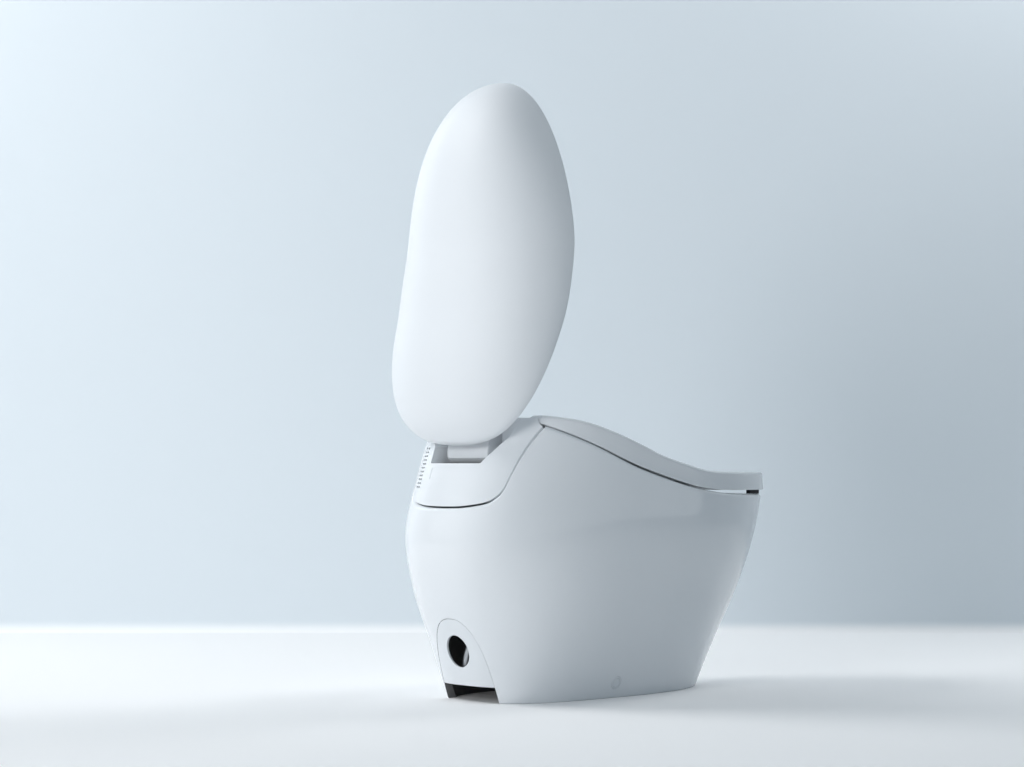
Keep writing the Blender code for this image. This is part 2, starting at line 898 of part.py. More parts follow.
def bowl_body():
    """One-piece ceramic: skirt, basin, waste way and the deck for the washing unit."""
    bowl = form_solid("bowl_body", 0.0, 0.0, ENVELOPE_TOP, FORM_STEPS, glazed_ceramic())
    cut(bowl, bowl_hollow())
    cut(bowl, basin_cutter())
    rim = height_cutter(
        "rim_cutter", rim_height, -SEAT_LINE_GAP, -HALF_DEPTH - OVERRUN,
        HALF_DEPTH + OVERRUN, HALF_WIDTH + OVERRUN,
    )
    cut(bowl, rim)
    cut(bowl, bay_solid("bay", 0.0, BAY_FRONT_Y, HALF_DEPTH + OVERRUN))
    mouth = box(
        "mouth_way", (-MOUTH_WAY_HALF_WIDTH, BASIN_REAR_Y - OVERRUN, MOUTH_WAY_HEIGHT),
        (MOUTH_WAY_HALF_WIDTH, COVER_FRONT_Y - RUNNING_GAP, ENVELOPE_TOP + OVERRUN),
    )
    cut(bowl, mouth)
    cut(bowl, extrude_y("arch", arch_outline(), ARCH_REAR_LIMIT, HALF_DEPTH + OVERRUN))
    bore = tube_along("trap_bore", bore_line(), TRAP_BORE_RADIUS, sides=PIPE_SIDES)
    cut(bowl, bore)
    point, normal = side_normal()
    for side in (1, -1):
        at = Vector((side * point.x, point.y, point.z))
        out = Vector((side * normal.x, normal.y, normal.z))
        seat = at - out * (SIDE_CAP_THICKNESS - SIDE_CAP_PROUD + SEAM)
        cut(bowl, rod("cap_seat", seat, at + out * OVERRUN, SIDE_CAP_RADIUS + SEAM, steps=ROUND_STEPS))
        inner = at - out * (SKIRT_WALL + SIDE_CAP_RADIUS)
        cut(bowl, rod("screw_way", inner, at + out * SIDE_CAP_RADIUS, SIDE_HOLE_RADIUS, steps=PIN_STEPS))
    for x in (-DECK_HOLE_X, DECK_HOLE_X):
        low = (x, DECK_HOLE_Y, DECK_HEIGHT - DECK_THICKNESS - DECK_THICKNESS)
        high = (x, DECK_HOLE_Y, DECK_HEIGHT + DECK_THICKNESS)
        cut(bowl, rod("deck_hole", low, high, DECK_HOLE_RADIUS, steps=PIN_STEPS))
    return finish_mesh(bowl)


def bore_line():
    """The waste way's middle line, carried on past its open ends."""
    line = trap_line()
    start = Vector((0.0, line[0].y - TRAP_BORE_RADIUS, line[0].z + TRAP_WALL))
    end = Vector((0.0, OUTLET_Y, OUTLET_PIPE_END - OVERRUN))
    return [start] + line + [end]


# Rear foot panel and side fixings


def access_panel():
    """Arched panel over the opening in the rear foot, with the hole for the supply."""
    panel = form_solid(
        "access_panel", SEAM, PANEL_BOTTOM_HEIGHT, ARCH_HEIGHT + OVERRUN, INNER_STEPS,
        white_plastic(),
    )
    inner = form_solid(
        "panel_inner", PANEL_THICKNESS, PANEL_BOTTOM_HEIGHT - OVERRUN,
        ARCH_HEIGHT + OVERRUN + OVERRUN, INNER_STEPS,
    )
    cut(panel, inner)
    arch = extrude_y(
        "panel_arch", arch_outline(PANEL_GAP), ARCH_REAR_LIMIT, HALF_DEPTH + OVERRUN
    )
    cross(panel, arch)
    low = (0.0, ARCH_REAR_LIMIT, PANEL_HOLE_HEIGHT)
    high = (0.0, HALF_DEPTH + OVERRUN, PANEL_HOLE_HEIGHT)
    cut(panel, rod("panel_hole", low, high, PANEL_HOLE_RADIUS, steps=ROUND_STEPS))
    return finish_mesh(panel)


def side_fixings():
    """Cap and screw on each side of the foot."""
    point, normal = side_normal()
    made = []
    for word, side in (("left", 1), ("right", -1)):
        at = Vector((side * point.x, point.y, point.z))
        out = Vector((side * normal.x, normal.y, normal.z))
        back = at - out * (SIDE_CAP_THICKNESS - SIDE_CAP_PROUD)
        profile = (
            (0, 0),
            (SIDE_CAP_RADIUS, 0),
            (SIDE_CAP_RADIUS, SIDE_CAP_THICKNESS - SIDE_CAP_PROUD),
            (SIDE_CAP_RADIUS - SIDE_CAP_PROUD, SIDE_CAP_THICKNESS),
            (0, SIDE_CAP_THICKNESS),
        )
        made.append(
            revolve("side_cap_" + word, profile, back, out, white_plastic(), PIN_STEPS)
        )
        head = back - out * (SEAM + SIDE_SCREW_HEAD)
        shank = SKIRT_WALL + SIDE_SCREW_REACH
        profile = (
            (0, 0),
            (SIDE_SCREW_RADIUS, 0),
            (SIDE_SCREW_RADIUS, shank),
            (SIDE_SCREW_HEAD_RADIUS, shank),
            (SIDE_SCREW_HEAD_RADIUS, shank + SIDE_SCREW_HEAD),
            (0, shank + SIDE_SCREW_HEAD),
        )
        made.append(
            revolve("side_screw_" + word, profile, head - out * shank, out, steel(), SMALL_ROUND_STEPS)
        )
        made.append(floor_bracket(word, side, head - out * shank, out))
    return made


def floor_bracket(word, side, tip, out):
    """Angle block that is screwed to the floor and takes the side screw."""
    face = tip + out * (SIDE_SCREW_REACH - SEAM)
    inner, outer = face.x - side * BRACKET_THICKNESS, face.x - side * RUNNING_GAP
    low, high = sorted((inner, outer))
    near, far = SIDE_HOLE_Y - BRACKET_LENGTH / 2, SIDE_HOLE_Y + BRACKET_LENGTH / 2
    block = box(
        "floor_bracket_" + word, (low, near, 0.0), (high, far, BRACKET_HEIGHT), grey_plastic()
    )
    flange_low, flange_high = sorted((inner - side * BRACKET_FLANGE, outer - side * RUNNING_GAP))
    flange = box(
        "flange", (flange_low, near, 0.0), (flange_high, far, BRACKET_FLANGE_THICKNESS)
    )
    join(block, flange)
    way = rod("way", tip - out * RUNNING_GAP, tip + out * BRACKET_FLANGE,
              SIDE_SCREW_RADIUS + SEAM, steps=PIN_STEPS)
    cut(block, way)
    middle = (flange_low + flange_high) / 2
    hole = rod("hole", (middle, SIDE_HOLE_Y, -OVERRUN), (middle, SIDE_HOLE_Y, OVERRUN),
               SIDE_SCREW_RADIUS, steps=PIN_STEPS)
    return finish_mesh(cut(block, hole))


def outlet_parts():
    """Socket on the floor outlet and the lip seal round the waste way's end."""
    outer, inner = OUTLET_SOCKET_RADIUS, OUTLET_SOCKET_RADIUS - OUTLET_SOCKET_WALL
    profile = (
        (inner, 0.0),
        (OUTLET_FLANGE_RADIUS, 0.0),
        (OUTLET_FLANGE_RADIUS, OUTLET_FLANGE_THICKNESS),
        (outer, OUTLET_FLANGE_THICKNESS),
        (outer, OUTLET_SOCKET_HEIGHT),
        (inner, OUTLET_SOCKET_HEIGHT),
    )
    centre = (0.0, OUTLET_Y, 0.0)
    socket = revolve("outlet_socket", profile, centre, (0, 0, 1), grey_plastic(), ROUND_STEPS)
    pipe = TRAP_BORE_RADIUS + TRAP_WALL + RUNNING_GAP
    low = OUTLET_SOCKET_HEIGHT - OUTLET_SEAL_HEIGHT
    lip = (inner - pipe) * SEAL_LIP_SHARE
    profile = (
        (pipe, low),
        (pipe + lip, low),
        (inner - SEAM, low + lip),
        (inner - SEAM, OUTLET_SOCKET_HEIGHT),
        (pipe, OUTLET_SOCKET_HEIGHT),
    )
    seal = revolve("outlet_seal", profile, centre, (0, 0, 1), black_rubber(), ROUND_STEPS)
    return [socket, seal]


# Rear cover and what shows in it


def notch_prism(name, wall, widening):
    """Opening for the hinge drum, wider at the top behind the seat's hinge."""
    top = ENVELOPE_TOP + OVERRUN
    rise = (top - NOTCH_SHOULDER_HEIGHT) / (ENVELOPE_TOP - NOTCH_SHOULDER_HEIGHT)
    wide = NOTCH_HALF_WIDTH + (NOTCH_TOP_HALF_WIDTH - NOTCH_HALF_WIDTH) * rise * widening
    side = [
        (NOTCH_HALF_WIDTH + wall, NOTCH_HEIGHT - wall),
        (NOTCH_HALF_WIDTH + wall, NOTCH_SHOULDER_HEIGHT - wall),
        (wide + wall, top),
    ]
    outline = side + [(-x, z) for x, z in side[::-1]]
    front = NOTCH_WIDE_Y if widening else NOTCH_FRONT_Y
    return extrude_y(name, outline, front - wall, HALF_DEPTH + OVERRUN)


def cover_block(name, inset, drop, finish=None):
    """Solid that fills the bay behind the seat, up to just under the lid."""
    block = form_solid(name, inset, DECK_HEIGHT - OVERRUN, ENVELOPE_TOP, INNER_STEPS, finish)
    front = COVER_FRONT_Y + inset
    cross(block, bay_solid("bay", COVER_GAP + inset, front, HALF_DEPTH + OVERRUN))
    top = height_cutter(
        "cover_top", seat_top_height, -drop, 0.0, HALF_DEPTH + OVERRUN,
        HALF_WIDTH + OVERRUN, steps=PIN_STEPS,
    )
    return cut(block, top)


def cover_arm_room(wall=0.0):
    """Room for the seat's two rear arms beside the cover, widened by a wall."""
    clearance = COVER_ARM_GAP + wall
    rooms = []
    for side in (1, -1):
        low, high = sorted((side * (SEAT_ARM_INNER_X - clearance), side * (HALF_WIDTH + OVERRUN)))
        outline = [(0.0, ENVELOPE_TOP + OVERRUN)]
        for i in range(13):
            y = SEAT_AXIS_Y * i / 12
            floor = SEAT_AXIS_HEIGHT - SEAT_END_RADIUS - clearance
            outline.append((y, min(rim_height(y) - SEAT_LINE_GAP - wall, floor)))
        for i in range(1, 9):
            t = -math.pi / 2 + math.pi / 2 * i / 8
            radius = SEAT_END_RADIUS + clearance
            outline.append((SEAT_AXIS_Y + radius * math.cos(t), SEAT_AXIS_HEIGHT + radius * math.sin(t)))
        outline.append((SEAT_AXIS_Y + SEAT_END_RADIUS + clearance, ENVELOPE_TOP + OVERRUN))
        rooms.append(extrude_x("arm_room", outline, low, high))
    return rooms


def vent_slots():
    """Two columns of short slots on the far rear quarter."""
    slots = []
    for column in range(2):
        x = VENT_INNER_X + column * VENT_COLUMN_STEP
        for row in range(VENT_ROWS):
            z = VENT_TOP_HEIGHT - row * VENT_PITCH
            low, high = z - VENT_SLOT_HEIGHT / 2, z + VENT_SLOT_HEIGHT / 2
            ends = (x, VENT_DEEP_Y, low), (x + VENT_SLOT_LENGTH, HALF_DEPTH + OVERRUN, high)
            slots.append(box("slot", *ends))
    return slots


def rear_cover():
    """Thin moulded cover over the washing unit, with the notch for the lid's drum."""
    cover = cover_block("rear_cover", 0.0, COVER_TOP_DROP, white_plastic())
    cut(cover, *cover_arm_room())
    inner = cover_block("cover_inner", COVER_WALL, COVER_TOP_DROP + COVER_WALL)
    cut(inner, *cover_arm_room(COVER_WALL))
    cut(inner, notch_prism("notch_wall", COVER_WALL, 0))
    cut(inner, notch_prism("notch_wall", COVER_WALL, 1))
    floor = box(
        "open_floor",
        (-HALF_WIDTH, COVER_FRONT_Y - OVERRUN, DECK_HEIGHT - OVERRUN),
        (HALF_WIDTH, HALF_DEPTH - COVER_OPEN_REAR, DECK_HEIGHT + COVER_OPEN_HEIGHT),
    )
    cut(cover, inner)
    cut(cover, floor)
    cut(cover, notch_prism("notch", 0.0, 0), notch_prism("notch", 0.0, 1))
    drum_room = rod(
        "drum_room",
        (-NOTCH_HALF_WIDTH, LID_AXIS_Y, LID_AXIS_HEIGHT),
        (NOTCH_HALF_WIDTH, LID_AXIS_Y, LID_AXIS_HEIGHT),
        DRUM_RADIUS + SWING_GAP,
        steps=ROUND_STEPS,
    )
    cut(cover, drum_room)
    for side in (1, -1):
        pin = rod(
            "pin_way",
            (side * (SEAT_ARM_INNER_X - SEAT_PIN_REACH), SEAT_AXIS_Y, SEAT_AXIS_HEIGHT),
            (side * (SEAT_ARM_INNER_X + SEAT_PIN_REACH), SEAT_AXIS_Y, SEAT_AXIS_HEIGHT),
            SEAT_PIN_RADIUS + SEAM,
            steps=SMALL_ROUND_STEPS,
        )
        cut(cover, pin)
    through = NOTCH_HALF_WIDTH + COVER_WALL + RUNNING_GAP
    lid_pin_way = rod(
        "lid_pin_way", (-through, LID_AXIS_Y, LID_AXIS_HEIGHT),
        (through, LID_AXIS_Y, LID_AXIS_HEIGHT), DRUM_BORE_RADIUS, steps=PIN_STEPS,
    )
    wand_way = box(
        "wand_way", (-WAND_WAY_HALF_WIDTH, COVER_FRONT_Y - OVERRUN, DECK_HEIGHT),
        (WAND_WAY_HALF_WIDTH, COVER_FRONT_Y + COVER_WALL + RUNNING_GAP, WAND_WAY_TOP),
    )
    cut(cover, lid_pin_way, wand_way)
    cut(cover, *vent_slots())
    return finish_mesh(cover)


# Lid


def lid_half_width(y, inset):
    """Half width of the lid's outline at a place along it."""
    half = LID_HALF_WIDTH - inset
    if y > LID_WAIST_Y:
        share, n = (y - LID_WAIST_Y) / (LID_REAR_Y - inset - LID_WAIST_Y), LID_REAR_POWER
    else:
        share, n = (LID_WAIST_Y - y) / (LID_WAIST_Y - LID_FRONT_Y - inset), LID_FRONT_POWER
    return half * max(1 - share**n, 0.0) ** (1 / n)


def lid_rise(x, y, inset):
    """Height of the dome over its rim at a place."""
    middle = (LID_FRONT_Y + LID_REAR_Y) / 2
    u = (y - middle) / ((LID_REAR_Y - LID_FRONT_Y) / 2 - inset)
    half = lid_half_width(y, inset)
    if half <= 0 or abs(x) >= half or abs(u) >= 1:
        return 0.0
    crown = LID_CROWN * (1 - LID_CROWN_TILT * u - LID_CROWN_SPREAD * u * u) - inset
    return crown * math.sqrt(
        (1 - abs(u) ** LID_END_POWER) * (1 - (abs(x) / half) ** LID_SIDE_POWER)
    )


def lid_edge(angle, inset, share=1.0):
    x, y = egg(
        angle, LID_HALF_WIDTH - inset, LID_FRONT_Y + inset, LID_REAR_Y - inset,
        LID_WAIST_Y, LID_FRONT_POWER, LID_REAR_POWER,
    )
    return share * x, LID_WAIST_Y + share * (y - LID_WAIST_Y)


def lid_ring(inset, share, count, least=0.0):
    ring = []
    for t in angles(count):
        x, y = lid_edge(t, inset, share)
        rise = 0.0 if share == 1.0 else lid_rise(x, y, inset)
        ring.append(Vector((x, y, seat_top_height(y) + LID_GAP + max(rise, least))))
    return ring


def lid_shell():
    """Domed outer shell of the lid, hollow below."""
    step = LID_LINER_SETBACK + LID_LINER_THICKNESS + LID_LINER_THICKNESS
    outer = [lid_ring(0.0, share, LID_COLUMNS) for share in LID_RING_SHARES]
    inner = [lid_ring(LID_WALL, share, LID_COLUMNS, step) for share in LID_RING_SHARES[::-1]]
    return loft("lid_shell", outer + [lid_ring(LID_WALL, 1.0, LID_COLUMNS)] + inner, white_plastic())


def lid_liner():
    """Inner skin of the lid, a little up inside the shell's rim."""
    inset = LID_WALL + LINER_GAP
    low, high = [], []
    for share in LINER_SHARES:
        ring = [lid_edge(t, inset, share) for t in angles(LID_COLUMNS)]
        low.append([Vector((x, y, liner_height(y))) for x, y in ring])
        high.append([Vector((x, y, liner_height(y) + LID_LINER_THICKNESS)) for x, y in ring])
    return loft("lid_liner", low + high[::-1], white_plastic())


def liner_height(y):
    return seat_top_height(y) + LID_GAP + LID_LINER_SETBACK


def lid_drum():
    """Hinge drum with the neck that carries the lid."""
    hub = DRUM_BORE_RADIUS + DRUM_WALL
    half = DRUM_HALF_LENGTH
    profile = (
        (DRUM_BORE_RADIUS, -half),
        (DRUM_RADIUS, -half),
        (DRUM_RADIUS, half),
        (DRUM_BORE_RADIUS, half),
        (DRUM_BORE_RADIUS, half - DRUM_HUB_LENGTH),
        (hub, half - DRUM_HUB_LENGTH),
        (hub, half - DRUM_WALL),
        (DRUM_RADIUS - DRUM_WALL, half - DRUM_WALL),
        (DRUM_RADIUS - DRUM_WALL, -half + DRUM_WALL),
        (hub, -half + DRUM_WALL),
        (hub, -half + DRUM_HUB_LENGTH),
        (DRUM_BORE_RADIUS, -half + DRUM_HUB_LENGTH),
    )
    axis = (0.0, LID_AXIS_Y, LID_AXIS_HEIGHT)
    drum = revolve("lid_drum", profile, axis, (1, 0, 0), white_plastic(), OUTLINE_STEPS // 2)
    outline = []
    for i in range(7):
        y = NECK_FRONT_Y + (NECK_REAR_Y - NECK_FRONT_Y) * i / 6
        outline.append((y, liner_height(y) - NECK_GAP))
    middle = DRUM_RADIUS - DRUM_WALL / 2
    for y in (NECK_REAR_Y, LID_AXIS_Y - middle * NECK_FOOT_SHARE):
        drop = math.sqrt(middle**2 - (LID_AXIS_Y - y) ** 2)
        outline.append((y, LID_AXIS_HEIGHT + drop))
    outline.append((NECK_FRONT_Y, outline[-1][1]))
    neck = extrude_x("neck", outline, -NECK_HALF_WIDTH, NECK_HALF_WIDTH)
    return finish_mesh(join(drum, neck))


def lid_bumpers():
    """Soft pads under the lid that rest on the seat."""
    made = []
    for word, side in (("left", 1), ("right", -1)):
        x = side * LID_BUMPER_X
        outline = []
        for i in range(4):
            y = LID_BUMPER_Y + LID_BUMPER_LENGTH * (i / 3 - 0.5)
            outline.append((y, liner_height(y) - SEAM))
        for i in range(3, -1, -1):
            y = LID_BUMPER_Y + LID_BUMPER_LENGTH * (i / 3 - 0.5)
            outline.append((y, seat_surface(y) + SEAM))
        made.append(
            extrude_x(
                "lid_bumper_" + word, outline, x - LID_BUMPER_WIDTH / 2,
                x + LID_BUMPER_WIDTH / 2, black_rubber(),
            )
        )
    return made


# Seat


def seat_surface(y):
    return seat_top_height(y) - LID_GAP


def seat_edge(angle, inset):
    """Outer outline of the seat, which carries on the bowl's form."""
    return egg(
        angle, SEAT_HALF_WIDTH - inset, -HALF_DEPTH + inset, SEAT_OUTLINE_REAR_Y - inset,
        WAIST_SHARE * HALF_DEPTH, form(SEAT_FORM_HEIGHT, 4), form(SEAT_FORM_HEIGHT, 5),
    )


def seat_hole(angle, grow):
    """Outline of the opening in the seat."""
    middle = (SEAT_OPENING_FRONT_Y + SEAT_OPENING_REAR_Y) / 2 + SEAT_OPENING_SHIFT
    return egg(
        angle, SEAT_OPENING_HALF_WIDTH + grow, SEAT_OPENING_FRONT_Y - grow,
        SEAT_OPENING_REAR_Y + grow, middle, SEAT_OPENING_POWER, SEAT_OPENING_POWER,
    )


def seat_ring(name, section, count, finish=None):
    """A ring round the opening: each section point gives the share of the way from the
    opening to the outer edge, an inset from the nearer edge and a height rule."""
    rings = []
    for share, inset, height_at in section:
        ring = []
        for t in angles(count):
            ox, oy = seat_edge(t, inset)
            ix, iy = seat_hole(t, inset)
            x, y = ix + (ox - ix) * share, iy + (oy - iy) * share
            ring.append(Vector((x, y, height_at(y))))
        rings.append(ring)
    return loft(name, rings, finish, closed_along=True)


def seat_foot(y):
    """Height of the seat's underside, which lifts off the rim towards the front."""
    share = min(max((SEAT_LIFT_Y - y) / SEAT_LIFT_LENGTH, 0.0), 1.0)
    return rim_height(y) + SEAT_LIFT * share * share * (3 - share - share)


def across(shares, inset, height_at):
    return [(share, inset, height_at) for share in shares]


def seat_section():
    """Outer form of the seat, with rounded upper edges and a shallow dish."""
    radius = SEAT_EDGE_RADIUS
    rows = [(1.0, 0.0, seat_foot)]
    for i in range(EDGE_STEPS + 1):
        t = math.pi / 2 * i / EDGE_STEPS
        inset, drop = radius * (1 - math.cos(t)), radius * (1 - math.sin(t))
        rows.append((1.0, inset, lambda y, drop=drop: seat_surface(y) - drop))
    for share, dish in SEAT_DISH_SHARES:
        rows.append((share, radius, lambda y, dish=dish: seat_surface(y) - dish * SEAT_DISH))
    for i in range(EDGE_STEPS, -1, -1):
        t = math.pi / 2 * i / EDGE_STEPS
        inset = radius * (1 - math.cos(t))
        drop = radius * (1 - math.sin(t)) + SEAT_DISH
        rows.append((0.0, inset, lambda y, drop=drop: seat_surface(y) - drop))
    for share in SEAT_UNDER_SHARES:
        rows.append((share, 0.0, seat_foot))
    return rows


def bridge_room(clearance):
    """Room under the seat's bridge for the front of the washing unit."""
    outline = []
    for i in range(9):
        y = SEAT_ROOM_FRONT_Y + (SEAT_BRIDGE_REAR_Y + OVERRUN - SEAT_ROOM_FRONT_Y) * i / 8
        outline.append((y, seat_surface(y) - SEAT_BRIDGE_THICKNESS + clearance))
    outline.append((SEAT_BRIDGE_REAR_Y + OVERRUN, RIM_FRONT_HEIGHT))
    outline.append((SEAT_ROOM_FRONT_Y, RIM_FRONT_HEIGHT))
    half = SEAT_ROOM_HALF_WIDTH + clearance
    return extrude_x("bridge_room", outline, -half, half)


def arm_ends():
    """Side view of the seat with its rear ends rounded about the hinge axis."""
    low, high = RIM_FRONT_HEIGHT - OVERRUN, ENVELOPE_TOP + OVERRUN
    front = -HALF_DEPTH - OVERRUN
    outline = [(front, low), (SEAT_AXIS_Y, low)]
    for i in range(9):
        t = -math.pi / 2 + math.pi * i / 8
        outline.append(
            (SEAT_AXIS_Y + SEAT_END_RADIUS * math.cos(t),
             SEAT_AXIS_HEIGHT + SEAT_END_RADIUS * math.sin(t))
        )
    outline += [(SEAT_AXIS_Y, high), (front, high)]
    return extrude_x("arm_ends", outline, -HALF_WIDTH - OVERRUN, HALF_WIDTH + OVERRUN)


def arm_floor():
    """The space under the seat's arms, down to the rim's height."""
    end = SEAT_AXIS_Y + SEAT_END_RADIUS + RUNNING_GAP
    outline = [(SEAT_BRIDGE_REAR_Y, RIM_FRONT_HEIGHT - OVERRUN)]
    for i in range(9):
        y = SEAT_BRIDGE_REAR_Y + (end - SEAT_BRIDGE_REAR_Y) * i / 8
        outline.append((y, min(rim_height(y), SEAT_AXIS_HEIGHT - SEAT_END_RADIUS)))
    outline.append((end, RIM_FRONT_HEIGHT - OVERRUN))
    half = HALF_WIDTH + OVERRUN
    return extrude_x("arm_floor", outline[::-1], -half, half)


def seat_band(name, inset, section, count=LID_COLUMNS, finish=None):
    """A ring inside the seat, kept to the part in front of the arms."""
    band = seat_ring(name, section, count, finish)
    keep = box(
        "keep", (-HALF_WIDTH, -HALF_DEPTH, RIM_FRONT_HEIGHT - OVERRUN),
        (HALF_WIDTH, SEAT_HOLLOW_REAR_Y - inset, ENVELOPE_TOP + OVERRUN),
    )
    cross(band, keep)
    room = SEAT_ROOM_HALF_WIDTH + SEAT_WALL + inset
    middle = box(
        "middle",
        (-room, SEAT_ROOM_FRONT_Y - SEAT_WALL - SEAT_WALL - inset, RIM_FRONT_HEIGHT - OVERRUN),
        (room, HALF_DEPTH, ENVELOPE_TOP + OVERRUN),
    )
    return cut(band, middle)


def seat_shell():
    """Upper moulding of the seat, with its arms, hollow below."""
    seat = seat_ring("seat_shell", seat_section(), OUTLINE_STEPS, white_plastic())
    bay = box(
        "seat_bay",
        (-SEAT_ARM_INNER_X, SEAT_BRIDGE_REAR_Y, RIM_FRONT_HEIGHT - OVERRUN),
        (SEAT_ARM_INNER_X, HALF_DEPTH, ENVELOPE_TOP + OVERRUN),
    )
    cut(seat, bay)
    cross(seat, arm_ends())
    cut(seat, arm_floor(), bridge_room(0.0))
    wall = SEAT_WALL
    section = (
        (1.0, wall, lambda y: rim_height(y) - OVERRUN),
        (1.0, wall, lambda y: seat_surface(y) - SEAT_EDGE_RADIUS),
        *across(
            (1.0, 0.65, 0.35, 0.0), wall + SEAT_EDGE_RADIUS,
            lambda y: seat_surface(y) - wall - SEAT_DISH,
        ),
        (0.0, wall, lambda y: seat_surface(y) - SEAT_EDGE_RADIUS - SEAT_DISH),
        (0.0, wall, lambda y: rim_height(y) - OVERRUN),
    )
    cut(seat, seat_band("seat_hollow", 0.0, section))
    for side in (1, -1):
        pin = rod(
            "pin_way",
            (side * (SEAT_ARM_INNER_X - OVERRUN), SEAT_AXIS_Y, SEAT_AXIS_HEIGHT),
            (side * (SEAT_ARM_INNER_X + SEAT_PIN_REACH + SEAM), SEAT_AXIS_Y, SEAT_AXIS_HEIGHT),
            SEAT_PIN_RADIUS + SEAM,
            steps=PIN_STEPS,
        )
        cut(seat, pin)
    return finish_mesh(seat)


def seat_base():
    """Lower moulding that closes the seat."""
    edge = SEAT_WALL + SEAM
    thick = SEAT_BASE_THICKNESS
    section = (
        *across((1.0, 0.5, 0.0), edge, lambda y: seat_foot(y) + thick),
        *across((0.0, 0.5, 1.0), edge, seat_foot),
    )
    return finish_mesh(seat_band("seat_base", SEAM, section, finish=white_plastic()))


def seat_heater():
    """Warming foil under the seat's upper skin."""
    edge = SEAT_WALL + SEAT_EDGE_RADIUS + SEAT_WALL
    low = SEAT_WALL + SEAT_DISH + SWING_GAP + HEATER_THICKNESS
    section = (
        *across(HEATER_SHARES, edge, lambda y: seat_surface(y) - low),
        *across(
            HEATER_SHARES[::-1], edge, lambda y: seat_surface(y) - low + HEATER_THICKNESS
        ),
    )
    return finish_mesh(seat_band("seat_heater", SEAT_WALL, section, finish=dark_plastic()))


def seat_bumpers():
    """Four soft pads that hold the seat off the rim."""
    made = []
    for end, x, y in (("front", SEAT_BUMPER_FRONT_X, SEAT_BUMPER_FRONT_Y),
                      ("rear", SEAT_BUMPER_REAR_X, SEAT_BUMPER_REAR_Y)):
        for word, side in (("left", 1), ("right", -1)):
            outline = []
            for i in range(4):
                at = y + SEAT_BUMPER_LENGTH * (i / 3 - 0.5)
                outline.append((at, seat_foot(at) - SEAM))
            for i in range(3, -1, -1):
                at = y + SEAT_BUMPER_LENGTH * (i / 3 - 0.5)
                outline.append((at, rim_height(at) - SEAT_LINE_GAP + SEAM))
            made.append(
                extrude_x(
                    f"seat_bumper_{end}_{word}", outline,
                    side * x - SEAT_BUMPER_WIDTH / 2, side * x + SEAT_BUMPER_WIDTH / 2,
                    black_rubber(),
                )
            )
    return made


# Washing unit inside the bay


def slope_matrix():
    """Places a piece whose own +X runs along the wand, out of its mouth."""
    pitch = math.radians(WAND_PITCH_DEGREES)
    ahead = Vector((0.0, -math.cos(pitch), -math.sin(pitch)))
    up = Vector((0.0, -math.sin(pitch), math.cos(pitch)))
    side = up.cross(ahead)
    turn = Matrix((ahead, side, up)).transposed().to_4x4()
    mouth = Vector((WAND_X, WAND_MOUTH_Y, WAND_MOUTH_HEIGHT))
    return Matrix.Translation(mouth) @ turn


def sloped_box(name, low, high, finish=None, radius=0.0):
    """A bar along the wand's direction with rounded long edges, in the wand's frame."""
    outline = rounded(low[1], high[1], low[2], high[2], radius, 3) if radius else [
        (low[1], low[2]), (high[1], low[2]), (high[1], high[2]), (low[1], high[2]),
    ]
    rings = [[Vector((x, y, z)) for y, z in outline] for x in (low[0], high[0])]
    return place(loft(name, rings, finish), slope_matrix())


def wand():
    """Spray wand with its nozzle tip, drawn back in its cradle."""
    back, front = -WAND_SETBACK - WAND_LENGTH, -WAND_SETBACK
    body = sloped_box(
        "wand", (back, -WAND_HALF_WIDTH, -WAND_HALF_HEIGHT),
        (front - WAND_TIP_LENGTH - SEAM, WAND_HALF_WIDTH, WAND_HALF_HEIGHT),
        white_plastic(), WAND_EDGE_RADIUS,
    )
    tip = sloped_box(
        "wand_tip", (front - WAND_TIP_LENGTH, -WAND_HALF_WIDTH, -WAND_HALF_HEIGHT),
        (front, WAND_HALF_WIDTH, WAND_HALF_HEIGHT), grey_plastic(), WAND_EDGE_RADIUS,
    )
    matrix = slope_matrix()
    for share in WAND_HOLE_SHARES:
        x = front - WAND_TIP_LENGTH * share
        low = matrix @ Vector((x, 0.0, 0.0))
        high = matrix @ Vector((x, 0.0, WAND_HALF_HEIGHT + RUNNING_GAP))
        cut(tip, rod("spray_hole", low, high, WAND_HOLE_RADIUS, steps=SMALL_ROUND_STEPS))
    return [body, finish_mesh(tip)]


def wand_cradle():
    """Channel that guides the wand, open at both ends and above."""
    wall, gap = CRADLE_WALL, WAND_GAP
    half, low = WAND_HALF_WIDTH + gap, -WAND_HALF_HEIGHT - gap
    top = WAND_HALF_HEIGHT
    outline = (
        (-half - wall, low - wall), (half + wall, low - wall), (half + wall, top),
        (half, top), (half, low), (-half, low), (-half, top), (-half - wall, top),
    )
    rings = [
        [Vector((x, y, z)) for y, z in outline] for x in (-CRADLE_LENGTH, -CRADLE_SETBACK)
    ]
    return place(loft("wand_cradle", rings, grey_plastic()), slope_matrix())


def on_slope(ahead, up):
    """The (y, z) place of a point given along the wand and square to it."""
    pitch = math.radians(WAND_PITCH_DEGREES)
    return (
        WAND_MOUTH_Y - ahead * math.cos(pitch) - up * math.sin(pitch),
        WAND_MOUTH_HEIGHT - ahead * math.sin(pitch) + up * math.cos(pitch),
    )


